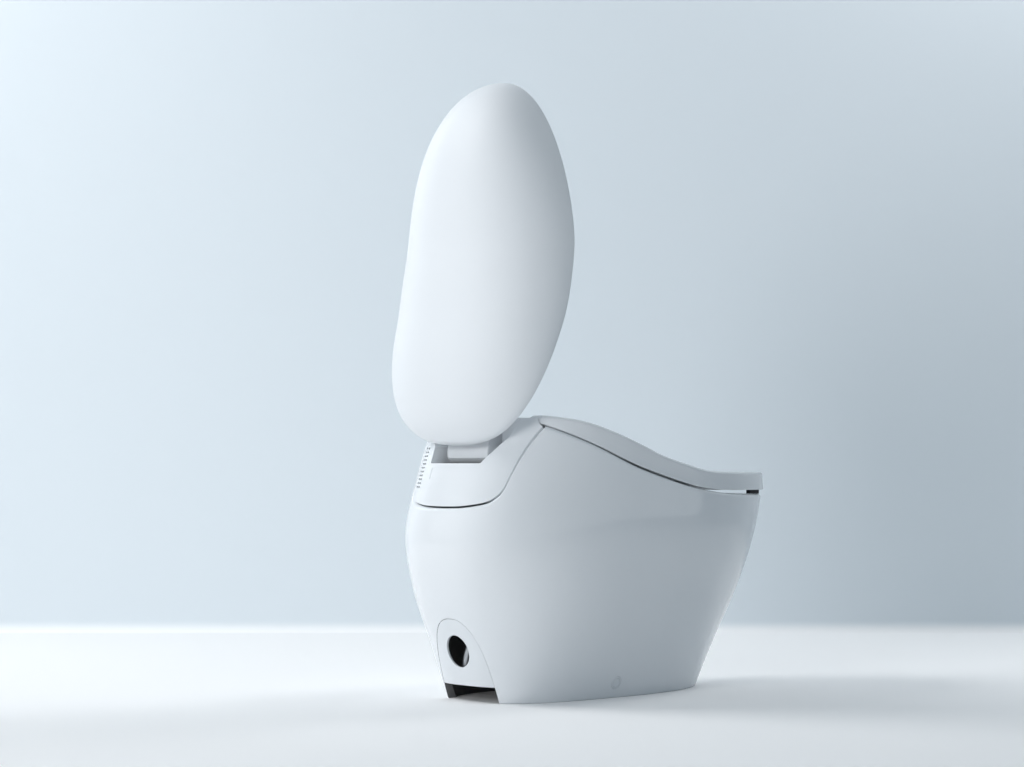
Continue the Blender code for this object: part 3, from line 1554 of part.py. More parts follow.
def housing_outline(wall):
    """Side view of the front moulding, moved in by a wall."""
    outline = [on_slope(-FACE_SETBACK - wall, FACE_TOP)]
    over = OVERRUN if wall else 0.0
    for i in range(7):
        y = HOUSING_TOP_Y + (HOUSING_REAR_Y + over - HOUSING_TOP_Y) * i / 6
        outline.append((y + wall, seat_surface(y) - SEAT_BRIDGE_THICKNESS - HOUSING_DROP - wall))
    outline.append((HOUSING_REAR_Y + over + wall, HOUSING_BOTTOM - over))
    outline.append((HOUSING_FOOT_Y + wall, HOUSING_BOTTOM - over))
    outline.append(on_slope(-FACE_SETBACK - wall, -FACE_BOTTOM))
    return outline


def unit_saddle(name, wall, finish=None):
    """Part of the front moulding that fills the ceramic's bay, under the rim's height."""
    over = OVERRUN if wall else 0.0
    block = bay_solid(
        name, COVER_GAP + wall, BAY_FRONT_Y + RUNNING_GAP + wall, COVER_FRONT_Y - RUNNING_GAP + over
    )
    top = height_cutter(
        "saddle_top", rim_height, -SEAT_LINE_GAP - wall, 0.0, HALF_DEPTH, HALF_WIDTH
    )
    return cut(block, top)


def nozzle_housing():
    """Front moulding of the unit, with mouths for the wand, the dryer and the drawn air."""
    half, wall = HOUSING_HALF_WIDTH, HOUSING_WALL
    housing = extrude_x("nozzle_housing", housing_outline(0.0), -half, half, white_plastic())
    join(housing, unit_saddle("saddle", 0.0))
    room = extrude_x("housing_room", housing_outline(wall), wall - half, half - wall)
    cut(housing, room, unit_saddle("saddle_room", wall))
    reach = WAND_SETBACK + WAND_LENGTH
    for x in (WAND_X, DRYER_X, -DRYER_X):
        mouth = sloped_box(
            "mouth", (-reach, -MOUTH_HALF_WIDTH, -MOUTH_HALF_HEIGHT),
            (OVERRUN, MOUTH_HALF_WIDTH, MOUTH_HALF_HEIGHT),
        )
        cut(housing, place(mouth, Matrix.Translation((x, 0.0, 0.0))))
    for x in (WAND_X, DRYER_X):
        for side in (1, -1):
            join(housing, lug("lug", x + side * (SHUTTER_HALF_WIDTH + SEAM + LUG_WIDTH / 2)))
    return finish_mesh(housing)


def shutter(name, x):
    """Flap hung from its upper edge over a mouth, with its two hinge ends."""
    plate = sloped_box(
        name, (-SHUTTER_BACK, -SHUTTER_HALF_WIDTH, -SHUTTER_REACH),
        (SHUTTER_THICKNESS - SHUTTER_BACK, SHUTTER_HALF_WIDTH, SHUTTER_HINGE - SHUTTER_THICKNESS / 2),
        white_plastic(),
    )
    place(plate, Matrix.Translation((x, 0.0, 0.0)))
    y, z = on_slope(SHUTTER_THICKNESS / 2 - SHUTTER_BACK, SHUTTER_HINGE)
    half = SHUTTER_HALF_WIDTH
    barrel = rod("barrel", (x - half, y, z), (x + half, y, z), SHUTTER_THICKNESS, steps=SMALL_ROUND_STEPS)
    reach = half + LUG_WIDTH
    pin = rod("pin", (x - reach, y, z), (x + reach, y, z), LUG_BORE - SEAM, steps=SMALL_ROUND_STEPS)
    return finish_mesh(join(plate, barrel, pin))


def star(centre, outer, inner, blades, turn):
    """Outline of a bladed wheel as (y, z) points."""
    outline = []
    for i in range(blades):
        for share, radius in ((0.0, inner), (0.35, inner), (0.5 + turn, outer), (0.7 + turn, outer)):
            t = 2 * math.pi * (i + share) / blades
            outline.append((centre[0] + radius * math.cos(t), centre[1] + radius * math.sin(t)))
    return outline


def blower(word, x):
    """Small radial fan: its casing with a duct to the mouth, and its bladed wheel."""
    y, z = FAN_Y, FAN_HEIGHT
    low, high = x - FAN_HALF_WIDTH, x + FAN_HALF_WIDTH
    casing = rod(word + "_fan_casing", (low, y, z), (high, y, z), FAN_RADIUS, grey_plastic(), ROUND_STEPS)
    front = on_slope(-FACE_SETBACK - HOUSING_WALL - RUNNING_GAP, 0.0)
    over = on_slope(FACE_SETBACK, 0.0)
    width = MOUTH_HALF_HEIGHT * 2
    join(casing, extrude_x("duct", duct_outline((y, z), front, width), low, high))
    wall = FAN_WALL
    way = duct_outline((y, z), over, width - wall - wall)
    chamber = rod("chamber", (low + wall, y, z), (high - wall, y, z), FAN_RADIUS - wall, steps=ROUND_STEPS)
    cut(casing, chamber)
    cut(casing, extrude_x("duct_way", way, low + wall, high - wall))
    inlet = rod("inlet", (low - wall, y, z), (low + wall + wall, y, z), FAN_INLET_RADIUS, steps=PIN_STEPS)
    cut(casing, inlet)
    wheel = extrude_x(
        word + "_impeller", star((y, z), FAN_WHEEL_RADIUS, FAN_HUB_RADIUS, 9, 0.25),
        low + wall + RUNNING_GAP, high - wall - SEAM, dark_plastic(),
    )
    return [finish_mesh(casing), wheel]


def duct_outline(start, end, width):
    """A straight duct between two (y, z) places."""
    way = Vector((end[0] - start[0], end[1] - start[1]))
    side = Vector((-way.y, way.x)).normalized() * width / 2
    return [
        (start[0] + side.x, start[1] + side.y), (start[0] - side.x, start[1] - side.y),
        (end[0] - side.x, end[1] - side.y), (end[0] + side.x, end[1] + side.y),
    ]


def unit_tray():
    """Tray on the ceramic deck that carries the washing unit."""
    outer = parting_outline(TRAY_GAP, TRAY_TOP_SHARE)
    inner = parting_outline(TRAY_GAP + TRAY_WALL, TRAY_TOP_SHARE)
    tray = extrude_y("unit_tray", outer + inner[::-1], TRAY_FRONT_Y, TRAY_REAR_Y, grey_plastic())
    for x in (-DECK_HOLE_X, DECK_HOLE_X):
        hole = rod(
            "hole", (x, DECK_HOLE_Y, DECK_HEIGHT - OVERRUN),
            (x, DECK_HOLE_Y, DECK_HEIGHT + OVERRUN), DECK_HOLE_RADIUS, steps=PIN_STEPS,
        )
        cut(tray, hole)
    return finish_mesh(tray)


# Washing unit behind the seat


def lug(name, x):
    """Small bearing block at a shutter's hinge, on the front moulding."""
    bearing = sloped_box(
        name, (-FACE_SETBACK - LUG_ROOT, x - LUG_WIDTH / 2, SHUTTER_HINGE - LUG_HALF),
        (LUG_REACH, x + LUG_WIDTH / 2, SHUTTER_HINGE + LUG_HALF),
    )
    y, z = on_slope(SHUTTER_THICKNESS / 2 - SHUTTER_BACK, SHUTTER_HINGE)
    hole = rod("hole", (x - LUG_WIDTH, y, z), (x + LUG_WIDTH, y, z), LUG_BORE, steps=SMALL_ROUND_STEPS)
    return cut(bearing, hole)


def block(name, low, high, finish, radius=UNIT_RADIUS):
    return finish_mesh(box(name, low, high, finish, radius, 3))


def drives():
    """Lid and seat drives, their far brackets and the hinge pins."""
    made = []
    axis = (LID_AXIS_Y, LID_AXIS_HEIGHT)
    seat_axis = (SEAT_AXIS_Y, SEAT_AXIS_HEIGHT)
    inner, outer = DRIVE_INNER_X, DRIVE_OUTER_X
    lid_drive = rod(
        "lid_drive", (inner, *axis), (outer, *axis), LID_DRIVE_RADIUS, grey_plastic(), ROUND_STEPS
    )
    motor = box(
        "motor", (inner + DRIVE_STEP, axis[0] - DRIVE_MOTOR_HALF, axis[1] - DRIVE_MOTOR_DROP),
        (outer - DRIVE_STEP, axis[0] + DRIVE_MOTOR_HALF, axis[1]),
    )
    made.append(finish_mesh(join(lid_drive, motor)))
    bracket = box(
        "lid_hinge_bracket", (-inner - DRIVE_STEP, axis[0] - BRACKET_HALF, axis[1] - DRIVE_MOTOR_DROP),
        (-inner, axis[0] + BRACKET_HALF, axis[1] + BRACKET_HALF), grey_plastic(), UNIT_RADIUS, 3,
    )
    made.append(finish_mesh(bracket))
    for word, side in (("left", 1), ("right", -1)):
        made.append(
            rod(
                "lid_hinge_pin_" + word, (side * LID_PIN_INNER_X, *axis),
                (side * (inner - SEAM), *axis), DRUM_BORE_RADIUS - SEAM, steel(), PIN_STEPS,
            )
        )
        low, high = sorted((side * SEAT_CARRIER_INNER_X, side * SEAT_CARRIER_OUTER_X))
        carrier = box(
            "seat_hinge_carrier_" + word, (low, SEAT_AXIS_Y - CARRIER_HALF, SEAT_CARRIER_LOW),
            (high, SEAT_AXIS_Y + CARRIER_HALF, SEAT_CARRIER_TOP), grey_plastic(),
        )
        pin_reach = SEAT_ARM_INNER_X + SEAT_PIN_REACH
        bore = rod(
            "bore", (side * SEAT_PIN_INNER_X, *seat_axis), (side * pin_reach, *seat_axis),
            SEAT_PIN_RADIUS + SEAM, steps=PIN_STEPS,
        )
        made.append(finish_mesh(cut(carrier, bore)))
        made.append(
            rod(
                "seat_hinge_pin_" + word, (side * (SEAT_PIN_INNER_X + SEAM), *seat_axis),
                (side * (pin_reach - SEAM), *seat_axis), SEAT_PIN_RADIUS, steel(), SMALL_ROUND_STEPS,
            )
        )
    made.append(
        block(
            "seat_drive", (-outer, SEAT_DRIVE_FRONT_Y, SEAT_CARRIER_LOW),
            (-SEAT_CARRIER_OUTER_X + SEAT_DRIVE_REACH, SEAT_DRIVE_REAR_Y, SEAT_DRIVE_TOP),
            dark_plastic(),
        )
    )
    return made


def unit_parts():
    """Heater, valve block, control box, pump and filter of the washing unit."""
    made = [
        block("water_heater", (-HEATER_HALF, *HEATER_LOW), (HEATER_HALF, *HEATER_HIGH), steel()),
        block(
            "valve_block", (-UNIT_OUTER_X, UNIT_FRONT_Y, UNIT_LOW),
            (-DRIVE_INNER_X, VALVE_REAR_Y, VALVE_TOP), white_plastic(),
        ),
        block(
            "control_box", (DRIVE_INNER_X, UNIT_FRONT_Y, UNIT_LOW),
            (UNIT_OUTER_X, VALVE_REAR_Y, CONTROL_TOP), board_green(),
        ),
        block("filter_cassette", FILTER_LOW, FILTER_HIGH, dark_plastic()),
    ]
    x, z = PUMP_X, UNIT_LOW + PUMP_RADIUS
    pump = rod(
        "flush_pump", (x, PUMP_FRONT_Y, z), (x, PUMP_REAR_Y, z), PUMP_RADIUS, dark_plastic(), ROUND_STEPS
    )
    neck = rod(
        "pump_neck", (x, PUMP_FRONT_Y - PUMP_NECK, z), (x, PUMP_FRONT_Y + PUMP_NECK, z),
        PUMP_RADIUS / 2, steps=SMALL_ROUND_STEPS,
    )
    made.append(finish_mesh(join(pump, neck)))
    return made


def water_inlet():
    """Inlet elbow behind the rear panel's hole and the hose up to the valve block."""
    elbow = tube_along(
        "inlet_elbow", curve_through([Vector(p) for p in ELBOW_ROUTE], 2), ELBOW_RADIUS,
        brass(), 0.0, SMALL_ROUND_STEPS,
    )
    hose_route = [Vector(p) for p in HOSE_ROUTE]
    hose = tube_along(
        "inlet_hose", curve_through(hose_route, 2), HOSE_RADIUS, grey_plastic(), 0.0, HOSE_SIDES
    )
    gland = rod(
        "power_gland", (DECK_HOLE_X, DECK_HOLE_Y, DECK_HEIGHT - DECK_THICKNESS),
        (DECK_HOLE_X, DECK_HOLE_Y, DECK_HEIGHT + GLAND_RISE), DECK_HOLE_RADIUS - SEAM,
        black_rubber(), PIN_STEPS,
    )
    return [elbow, hose, gland]


def hang(name, axis, pieces, turn=0.0):
    """Parents moving pieces to an empty on their joint's axis, turned about it."""
    pivot = bpy.data.objects.new(name, None)
    bpy.context.collection.objects.link(pivot)
    pivot.location = axis
    pivot.rotation_euler.x = math.radians(turn)
    back = Matrix.Translation(-Vector(axis))
    for piece in pieces:
        piece.data.transform(back)
        piece.parent = pivot


def main():
    clear_scene()
    bowl_body()
    access_panel()
    side_fixings()
    outlet_parts()
    rear_cover()
    lid_axis = (0.0, LID_AXIS_Y, LID_AXIS_HEIGHT)
    lid = [lid_shell(), lid_liner(), lid_drum(), *lid_bumpers()]
    hang("lid_axis", lid_axis, lid, -LID_OPEN_DEGREES)
    seat = [seat_shell(), seat_base(), seat_heater(), *seat_bumpers()]
    hang("seat_axis", (0.0, SEAT_AXIS_Y, SEAT_AXIS_HEIGHT), seat)
    hang("wand_axis", (WAND_X, WAND_MOUTH_Y, WAND_MOUTH_HEIGHT), wand())
    wand_cradle()
    nozzle_housing()
    hinge = on_slope(SHUTTER_THICKNESS / 2 - SHUTTER_BACK, SHUTTER_HINGE)
    hang("nozzle_flap_axis", (WAND_X, *hinge), [shutter("nozzle_flap", WAND_X)])
    hang("dryer_flap_axis", (DRYER_X, *hinge), [shutter("dryer_flap", DRYER_X)])
    for word, x in (("dryer", DRYER_X), ("deodoriser", -DRYER_X)):
        wheel = blower(word, x)[1]
        hang(word + "_fan_axis", (x, FAN_Y, FAN_HEIGHT), [wheel])
    unit_tray()
    drives()
    unit_parts()
    water_inlet()


if __name__ == "__main__":
    main()
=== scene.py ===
"""Looks of a smart toilet: glazed one-piece ceramic, glossy lid and seat, and the washing unit.

Metres, +Z up, the bowl's front to -Y. The lid stands open and the seat is down. Each class
is one sub-assembly: its fields are its sizes, its methods make its surfaces as numpy grids,
and build() dresses them and puts them in place of their solids. Finishes are written as
expressions on shader sockets.
"""

from __future__ import annotations

import logging
import math
from dataclasses import dataclass
from enum import Enum
from typing import Callable, Iterable, Sequence

import bmesh
import bpy
import numpy as np
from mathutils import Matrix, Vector

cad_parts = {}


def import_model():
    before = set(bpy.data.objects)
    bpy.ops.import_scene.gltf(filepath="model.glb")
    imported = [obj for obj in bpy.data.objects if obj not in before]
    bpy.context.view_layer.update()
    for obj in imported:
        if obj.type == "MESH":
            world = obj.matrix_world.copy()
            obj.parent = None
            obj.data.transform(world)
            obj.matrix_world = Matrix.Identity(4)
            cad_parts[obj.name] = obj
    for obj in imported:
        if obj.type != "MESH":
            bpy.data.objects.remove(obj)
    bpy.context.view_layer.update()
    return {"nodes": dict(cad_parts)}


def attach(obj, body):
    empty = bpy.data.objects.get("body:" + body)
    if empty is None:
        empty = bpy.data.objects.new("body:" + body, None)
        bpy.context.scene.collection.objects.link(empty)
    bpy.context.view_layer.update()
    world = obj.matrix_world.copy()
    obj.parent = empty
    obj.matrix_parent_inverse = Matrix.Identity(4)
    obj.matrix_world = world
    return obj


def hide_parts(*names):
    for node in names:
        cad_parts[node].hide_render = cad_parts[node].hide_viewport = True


LOG = logging.getLogger("smart_toilet")
Grid = np.ndarray
Line = Callable[[np.ndarray], np.ndarray]
Rows = Sequence[tuple[float, ...]]
Piece = bpy.types.Object
Colour = tuple[float, float, float]

# Places beyond the object, where cutters end: its sides, rear, front and top
ACROSS = 0.25
BEHIND = 0.43
AHEAD = -0.45
OVER = 0.60

# Direction that no pipe follows
LEAN = (0.31, 0.0, 0.95)


# Curves and outlines


def wave(table: Rows, column: int, at: Grid) -> Grid:
    """Smooth curve through a table: cubic Hermite pieces whose slope at each row is the
    rise between its two neighbours over their distance. It is level outside the table.

    Args:
        table: Rows in rising order of their first value.
        column: Column that holds the values.
        at: Places to work the curve out at.

    Returns:
        The curve's values, in the shape of the places.
    """
    places = np.array([row[0] for row in table])
    values = np.array([row[column] for row in table])
    low = np.maximum(np.arange(len(places)) - 1, 0)
    high = np.minimum(np.arange(len(places)) + 1, len(places) - 1)
    slopes = (values[high] - values[low]) / (places[high] - places[low])
    i = np.clip(np.searchsorted(places, at, side="right") - 1, 0, len(places) - 2)
    step = places[i + 1] - places[i]
    t = np.clip((at - places[i]) / step, 0.0, 1.0)
    return (
        values[i] * (2 * t**3 - 3 * t**2 + 1)
        + slopes[i] * step * (t**3 - 2 * t**2 + t)
        + values[i + 1] * (3 * t**2 - 2 * t**3)
        + slopes[i + 1] * step * (t**3 - t**2)
    )


def smoothstep(low: float, high: float, at: Grid) -> Grid:
    """Rises from 0 at low to 1 at high as 3t^2 - 2t^3."""
    t = np.clip((at - low) / (high - low), 0.0, 1.0)
    return t * t * (3 - 2 * t)


def egg(
    angle: Grid, half: Grid, front: Grid, rear: Grid, waist: float,
    front_power: Grid, rear_power: Grid,
) -> tuple[Grid, Grid]:
    """Egg outline of two half superellipses that meet at the waist: x = half cos^(2/n),
    y = waist + reach sin^(2/n), with one reach and power ahead and another behind.

    Args:
        angle: Angles from +X towards +Y.
        half: Half width.
        front: Front end's y.
        rear: Rear end's y.
        waist: The widest place's y.
        front_power: Superellipse power of the front half.
        rear_power: Superellipse power of the rear half.

    Returns:
        The x and y of the outline's points.
    """
    c, s = np.cos(angle), np.sin(angle)
    n = np.where(s > 0, rear_power, front_power)
    reach = np.where(s > 0, rear - waist, waist - front)
    x = half * np.sign(c) * np.abs(c) ** (2 / n)
    y = waist + reach * np.sign(s) * np.abs(s) ** (2 / n)
    return x, y


def through(rows: Rows, count: int) -> list[Grid]:
    """Smooth line through a table of places, at even steps from row to row.

    Args:
        rows: The table.
        count: Number of points.

    Returns:
        One array for each column.
    """
    table = [(float(i), *row) for i, row in enumerate(rows)]
    at = np.linspace(0.0, len(rows) - 1, count)
    return [wave(table, k + 1, at) for k in range(len(rows[0]))]


def pack(*columns: Grid | float) -> Grid:
    """Puts coordinates side by side as points, each spread to the shape of all."""
    return np.stack(np.broadcast_arrays(*columns), axis=-1)


def around(count: int) -> Grid:
    """Evenly spaced angles, once round."""
    return np.linspace(0, 2 * np.pi, count, endpoint=False)


def arc(centre: tuple[float, float], radius: float, start: float, end: float, count: int) -> Grid:
    """Points of an arc about a centre, between two angles."""
    t = np.linspace(start, end, count)
    return pack(centre[0] + radius * np.cos(t), centre[1] + radius * np.sin(t))


def quarter(radius: float, count: int, back: bool = False) -> list[tuple[float, float]]:
    """Rounded edge as pairs radius (1 - sin t), radius (1 - cos t), in order or back."""
    ends = (np.pi / 2, 0) if back else (0, np.pi / 2)
    return [(radius * (1 - np.sin(t)), radius * (1 - np.cos(t))) for t in np.linspace(*ends, count)]


def raised(line: Line, rise: float) -> Line:
    """A line of heights, moved up by a distance."""
    return lambda y: line(y) + rise


def box_outline(low_a: float, high_a: float, low_b: float, high_b: float) -> Grid:
    """Corners of a rectangle."""
    return np.array([[low_a, low_b], [high_a, low_b], [high_a, high_b], [low_a, high_b]])


@dataclass(frozen=True)
class Form:
    """The outer form that every piece shares: the ceramic's envelope, the rim's line, the
    seat's upper line and the rear cover's parting line."""

    half_width: float = 0.2115
    half_depth: float = 0.3985
    top: float = 0.520
    waist_share: float = 0.14
    rim_front: float = 0.372
    rim_rise: float = 0.126
    rim_rear_y: float = 0.282
    rim_drop: float = 0.0035
    deck: float = 0.348
    bay_half: float = 0.155
    bay_top: float = 0.492
    bay_front_y: float = 0.122
    envelope_rows: Rows = (
        (0.000, 0.573, 0.818, 0.612, 2.16, 3.20),
        (0.096, 0.628, 0.853, 0.688, 2.17, 3.15),
        (0.192, 0.690, 0.888, 0.765, 2.18, 3.10),
        (0.385, 0.818, 0.964, 0.926, 2.20, 3.00),
        (0.577, 0.926, 1.000, 0.998, 2.21, 2.90),
        (0.769, 0.990, 0.940, 1.000, 2.22, 2.70),
        (0.962, 0.998, 0.846, 1.000, 2.22, 2.60),
        (1.000, 1.000, 0.826, 1.000, 2.22, 2.60),
    )
    rim_rows: Rows = (
        (0.00, 0.000), (0.16, 0.000), (0.33, 0.022), (0.43, 0.062), (0.52, 0.128),
        (0.63, 0.262), (0.75, 0.445), (0.86, 0.685), (0.95, 0.885), (1.00, 1.000),
    )
    seat_rows: Rows = (
        (0.00, 0.318), (0.18, 0.326), (0.36, 0.334), (0.45, 0.360), (0.54, 0.452),
        (0.63, 0.568), (0.72, 0.742), (0.81, 0.912), (0.90, 1.056), (1.00, 1.142),
    )
    parting_rows: Rows = (
        (0.000, 0.000), (0.335, 0.010), (0.632, 0.060), (0.742, 0.139), (0.794, 0.236),
        (0.832, 0.417), (0.871, 0.604), (0.935, 0.833), (1.000, 1.000), (1.070, 1.240),
    )

    def envelope(self, angle: Grid, height: Grid, inset: Grid = 0.0) -> tuple[Grid, Grid]:
        """Point of the envelope: an egg whose reach, width and powers vary with height.

        Args:
            angle: Angles from +X towards +Y.
            height: Heights above the floor.
            inset: Distance moved in.

        Returns:
            The x and y of the points.
        """
        share = np.asarray(height) / self.top
        front, rear, half, *powers = (wave(self.envelope_rows, k, share) for k in range(1, 6))
        return egg(
            angle, half * self.half_width - inset, -front * self.half_depth + inset,
            rear * self.half_depth - inset, self.waist, *powers,
        )

    @property
    def waist(self) -> float:
        """The widest place's y."""
        return self.waist_share * self.half_depth

    def along(self, y: Grid) -> Grid:
        """Share of the way from the front tip to the rim's rear end."""
        return (np.asarray(y) + self.half_depth) / (self.rim_rear_y + self.half_depth)

    def rim(self, y: Grid) -> Grid:
        """Height of the seat's lower line at a place along the bowl."""
        return self.rim_front + self.rim_rise * wave(self.rim_rows, 1, self.along(y))

    def glaze_top(self, y: Grid) -> Grid:
        """Height of the ceramic under the seat's line."""
        return self.rim(y) - self.rim_drop

    def seat_top(self, y: Grid) -> Grid:
        """Height of the line between the seat and the closed lid."""
        return self.rim_front + self.rim_rise * wave(self.seat_rows, 1, self.along(y))

    def parting_line(self, clearance: float = 0.0) -> tuple[Grid, Grid]:
        """Half of the rear cover's U line, from its lowest point outwards.

        Args:
            clearance: Distance moved into the U.

        Returns:
            The x and z of the points.
        """
        out, up = through(self.parting_rows, 90)
        rise = self.bay_top - self.deck
        return out * (self.bay_half - clearance), self.deck + clearance + rise * up

    def parting_height(self, x: Grid) -> Grid:
        """Height of the U line over a distance from the middle, far up outside it."""
        places, heights = self.parting_line()
        return np.interp(np.abs(x), places, heights, right=1.0)


FORM = Form()


# Mesh making


class Slot(Enum):
    """Names of material slots that new pieces are passed with; nothing reads them."""

    CERAMIC = "ceramic"
    WHITE = "white"
    GREY = "grey"
    STEEL = "steel"


def piece_from(name: str, points: Grid, faces: Iterable[Sequence[int]]) -> Piece:
    """Puts points and faces into a new object whose faces point outwards.

    Args:
        name: The piece's name.
        points: Array of points, three numbers each.
        faces: Corner numbers of each face.

    Returns:
        The new object, linked to the scene.
    """
    mesh = bpy.data.meshes.new(name)
    mesh.from_pydata(np.asarray(points).reshape(-1, 3).tolist(), [], [list(f) for f in faces])
    work = bmesh.new()
    work.from_mesh(mesh)
    bmesh.ops.remove_doubles(work, verts=work.verts, dist=1e-6)
    bmesh.ops.recalc_face_normals(work, faces=work.faces)
    work.to_mesh(mesh)
    work.free()
    piece = bpy.data.objects.new(name, mesh)
    bpy.context.collection.objects.link(piece)
    return piece


def grid_faces(rows: int, columns: int, close_rows: bool, close_columns: bool) -> list[list[int]]:
    """Quads of a grid of points, wrapped round in either direction.

    Args:
        rows: Number of rows.
        columns: Points in each row.
        close_rows: Whether the last row joins the first.
        close_columns: Whether each row is a closed loop.

    Returns:
        Four corner numbers for each quad.
    """
    r = np.arange(rows if close_rows else rows - 1)
    c = np.arange(columns if close_columns else columns - 1)
    rr, cc = np.meshgrid(r, c, indexing="ij")
    below, ahead = (rr + 1) % rows, (cc + 1) % columns
    here, below = rr * columns, below * columns
    corners = (here + cc, here + ahead, below + ahead, below + cc)
    return np.stack(corners, axis=-1).reshape(-1, 4).tolist()


def grid_piece(
    name: str, grid: Grid, close_rows: bool = False, close_columns: bool = True,
    caps: bool = True,
) -> Piece:
    """Makes a piece from a grid of points, with its open end rows capped.

    Args:
        name: The piece's name.
        grid: Array of rows by columns by three.
        close_rows: Whether the last row joins the first, as round a ring.
        close_columns: Whether each row is a closed loop.
        caps: Whether open end rows are filled.

    Returns:
        The new object.
    """
    rows, columns = grid.shape[:2]
    faces = grid_faces(rows, columns, close_rows, close_columns)
    if caps and not close_rows and close_columns:
        faces.append(list(range(columns)))
        faces.append(list(range((rows - 1) * columns, rows * columns)))
    return piece_from(name, grid, faces)


def prism(name: str, outline: Grid, axis: int, low: float, high: float) -> Piece:
    """Carries a flat outline straight along one axis between two places.

    Args:
        name: The piece's name.
        outline: Points as pairs on the other two axes, in rising order of axis.
        axis: 0, 1 or 2 for X, Y or Z.
        low: Where it starts.
        high: Where it ends.

    Returns:
        The new object.
    """
    outline = np.asarray(outline, dtype=float)
    ends = [np.insert(outline, axis, place, axis=1) for place in (low, high)]
    return grid_piece(name, np.stack(ends))


def turned(
    name: str, profile: Grid, centre: Sequence[float], axis: Sequence[float], count: int,
) -> Piece:
    """Turns a closed profile of (radius, along) pairs round an axis: each point goes to
    centre + along axis + radius (u cos t + v sin t).

    Args:
        name: The piece's name.
        profile: Pairs of radius and distance along the axis.
        centre: A point on the axis.
        axis: The axis's direction.
        count: Number of steps round.

    Returns:
        The new object.
    """
    profile = np.asarray(profile, dtype=float)
    w = Vector(axis).normalized()
    u = w.orthogonal().normalized()
    v = w.cross(u)
    t = around(count)
    ring = np.cos(t)[:, None] * np.array(u) + np.sin(t)[:, None] * np.array(v)
    grid = (
        np.array(centre)
        + profile[:, 1, None, None] * np.array(w)
        + profile[:, 0, None, None] * ring[None]
    )
    on_axis = profile[0, 0] < 1e-9 and profile[-1, 0] < 1e-9
    return grid_piece(name, grid, close_rows=not on_axis, caps=False)


def rod(
    name: str, radius: float, low: float, high: float,
    centre: Sequence[float], axis: Sequence[float], count: int = 40,
) -> Piece:
    """Round bar of a radius between two places along an axis."""
    profile = [(0.0, low), (radius, low), (radius, high), (0.0, high)]
    return turned(name, profile, centre, axis, count)


def pipe(
    name: str, path: Grid, radius: float, count: int, bore: float = 0.0,
    side: Sequence[float] | None = None,
) -> Piece:
    """Carries a circle along a path, hollow where it has a bore.

    Args:
        name: The piece's name.
        path: Points of the middle line.
        radius: Outer radius.
        count: Number of steps round.
        bore: Inner radius, or 0 for a solid bar.
        side: Direction square to the plane of a flat path, or None for any path.

    Returns:
        The new object.
    """
    along = np.gradient(path, axis=0)
    along /= np.linalg.norm(along, axis=1, keepdims=True)
    if side is None:
        across = np.cross(along, LEAN)
        across /= np.linalg.norm(across, axis=1, keepdims=True)
    else:
        across = np.broadcast_to(side, path.shape)
    up = np.cross(across, along)
    t = around(count)
    ring = across[:, None] * np.cos(t)[None, :, None] + up[:, None] * np.sin(t)[None, :, None]
    grid = path[:, None] + radius * ring
    if bore:
        grid = np.concatenate([grid, (path[:, None] + bore * ring)[::-1]])
    return grid_piece(name, grid, close_rows=bool(bore))


class Cut(Enum):
    """Ways to combine two solids."""

    AWAY = "DIFFERENCE"
    KEEP = "INTERSECT"


def changed(piece: Piece, kind: str, **settings: object) -> Piece:
    """Changes a piece's mesh by one modifier.

    Args:
        piece: The piece.
        kind: The modifier's type.
        **settings: Names and values of its settings.

    Returns:
        The same piece.
    """
    step = piece.modifiers.new(kind, kind)
    for key, value in settings.items():
        setattr(step, key, value)
    bpy.context.view_layer.update()
    shown = piece.evaluated_get(bpy.context.evaluated_depsgraph_get())
    mesh = bpy.data.meshes.new_from_object(shown)
    piece.modifiers.clear()
    piece.data = mesh
    return piece


def combine(piece: Piece, other: Piece, how: Cut) -> Piece:
    """Cuts away or keeps what another solid covers, and uses that solid up.

    Args:
        piece: The solid that stays.
        other: The solid that is used up.
        how: How they combine.

    Returns:
        The first solid, changed.
    """
    changed(piece, "BOOLEAN", operation=how.value, solver="EXACT", object=other)
    bpy.data.objects.remove(other, do_unlink=True)
    return piece


def cut(piece: Piece, *others: Piece) -> Piece:
    """Cuts other solids away from a piece.

    Args:
        piece: The piece.
        *others: The solids, which are used up.

    Returns:
        The same piece.
    """
    for other in others:
        combine(piece, other, Cut.AWAY)
    return piece


def soften(piece: Piece, width: float) -> Piece:
    """Rounds a piece's edges that are sharper than 40 degrees.

    Args:
        piece: The piece.
        width: Width of the rounding.

    Returns:
        The same piece.
    """
    limit = math.radians(40.0)
    return changed(
        piece, "BEVEL", width=width, segments=3, limit_method="ANGLE", angle_limit=limit
    )


def smooth(piece: Piece, degrees: float = 32.0) -> Piece:
    """Shades a piece smooth, with edges sharper than an angle kept crisp.

    Args:
        piece: The piece.
        degrees: The angle.

    Returns:
        The same piece.
    """
    mesh = piece.data
    mesh.polygons.foreach_set("use_smooth", np.ones(len(mesh.polygons), dtype=bool))
    mesh.set_sharp_from_angle(angle=math.radians(degrees))
    mesh.update()
    return piece


# Finishes


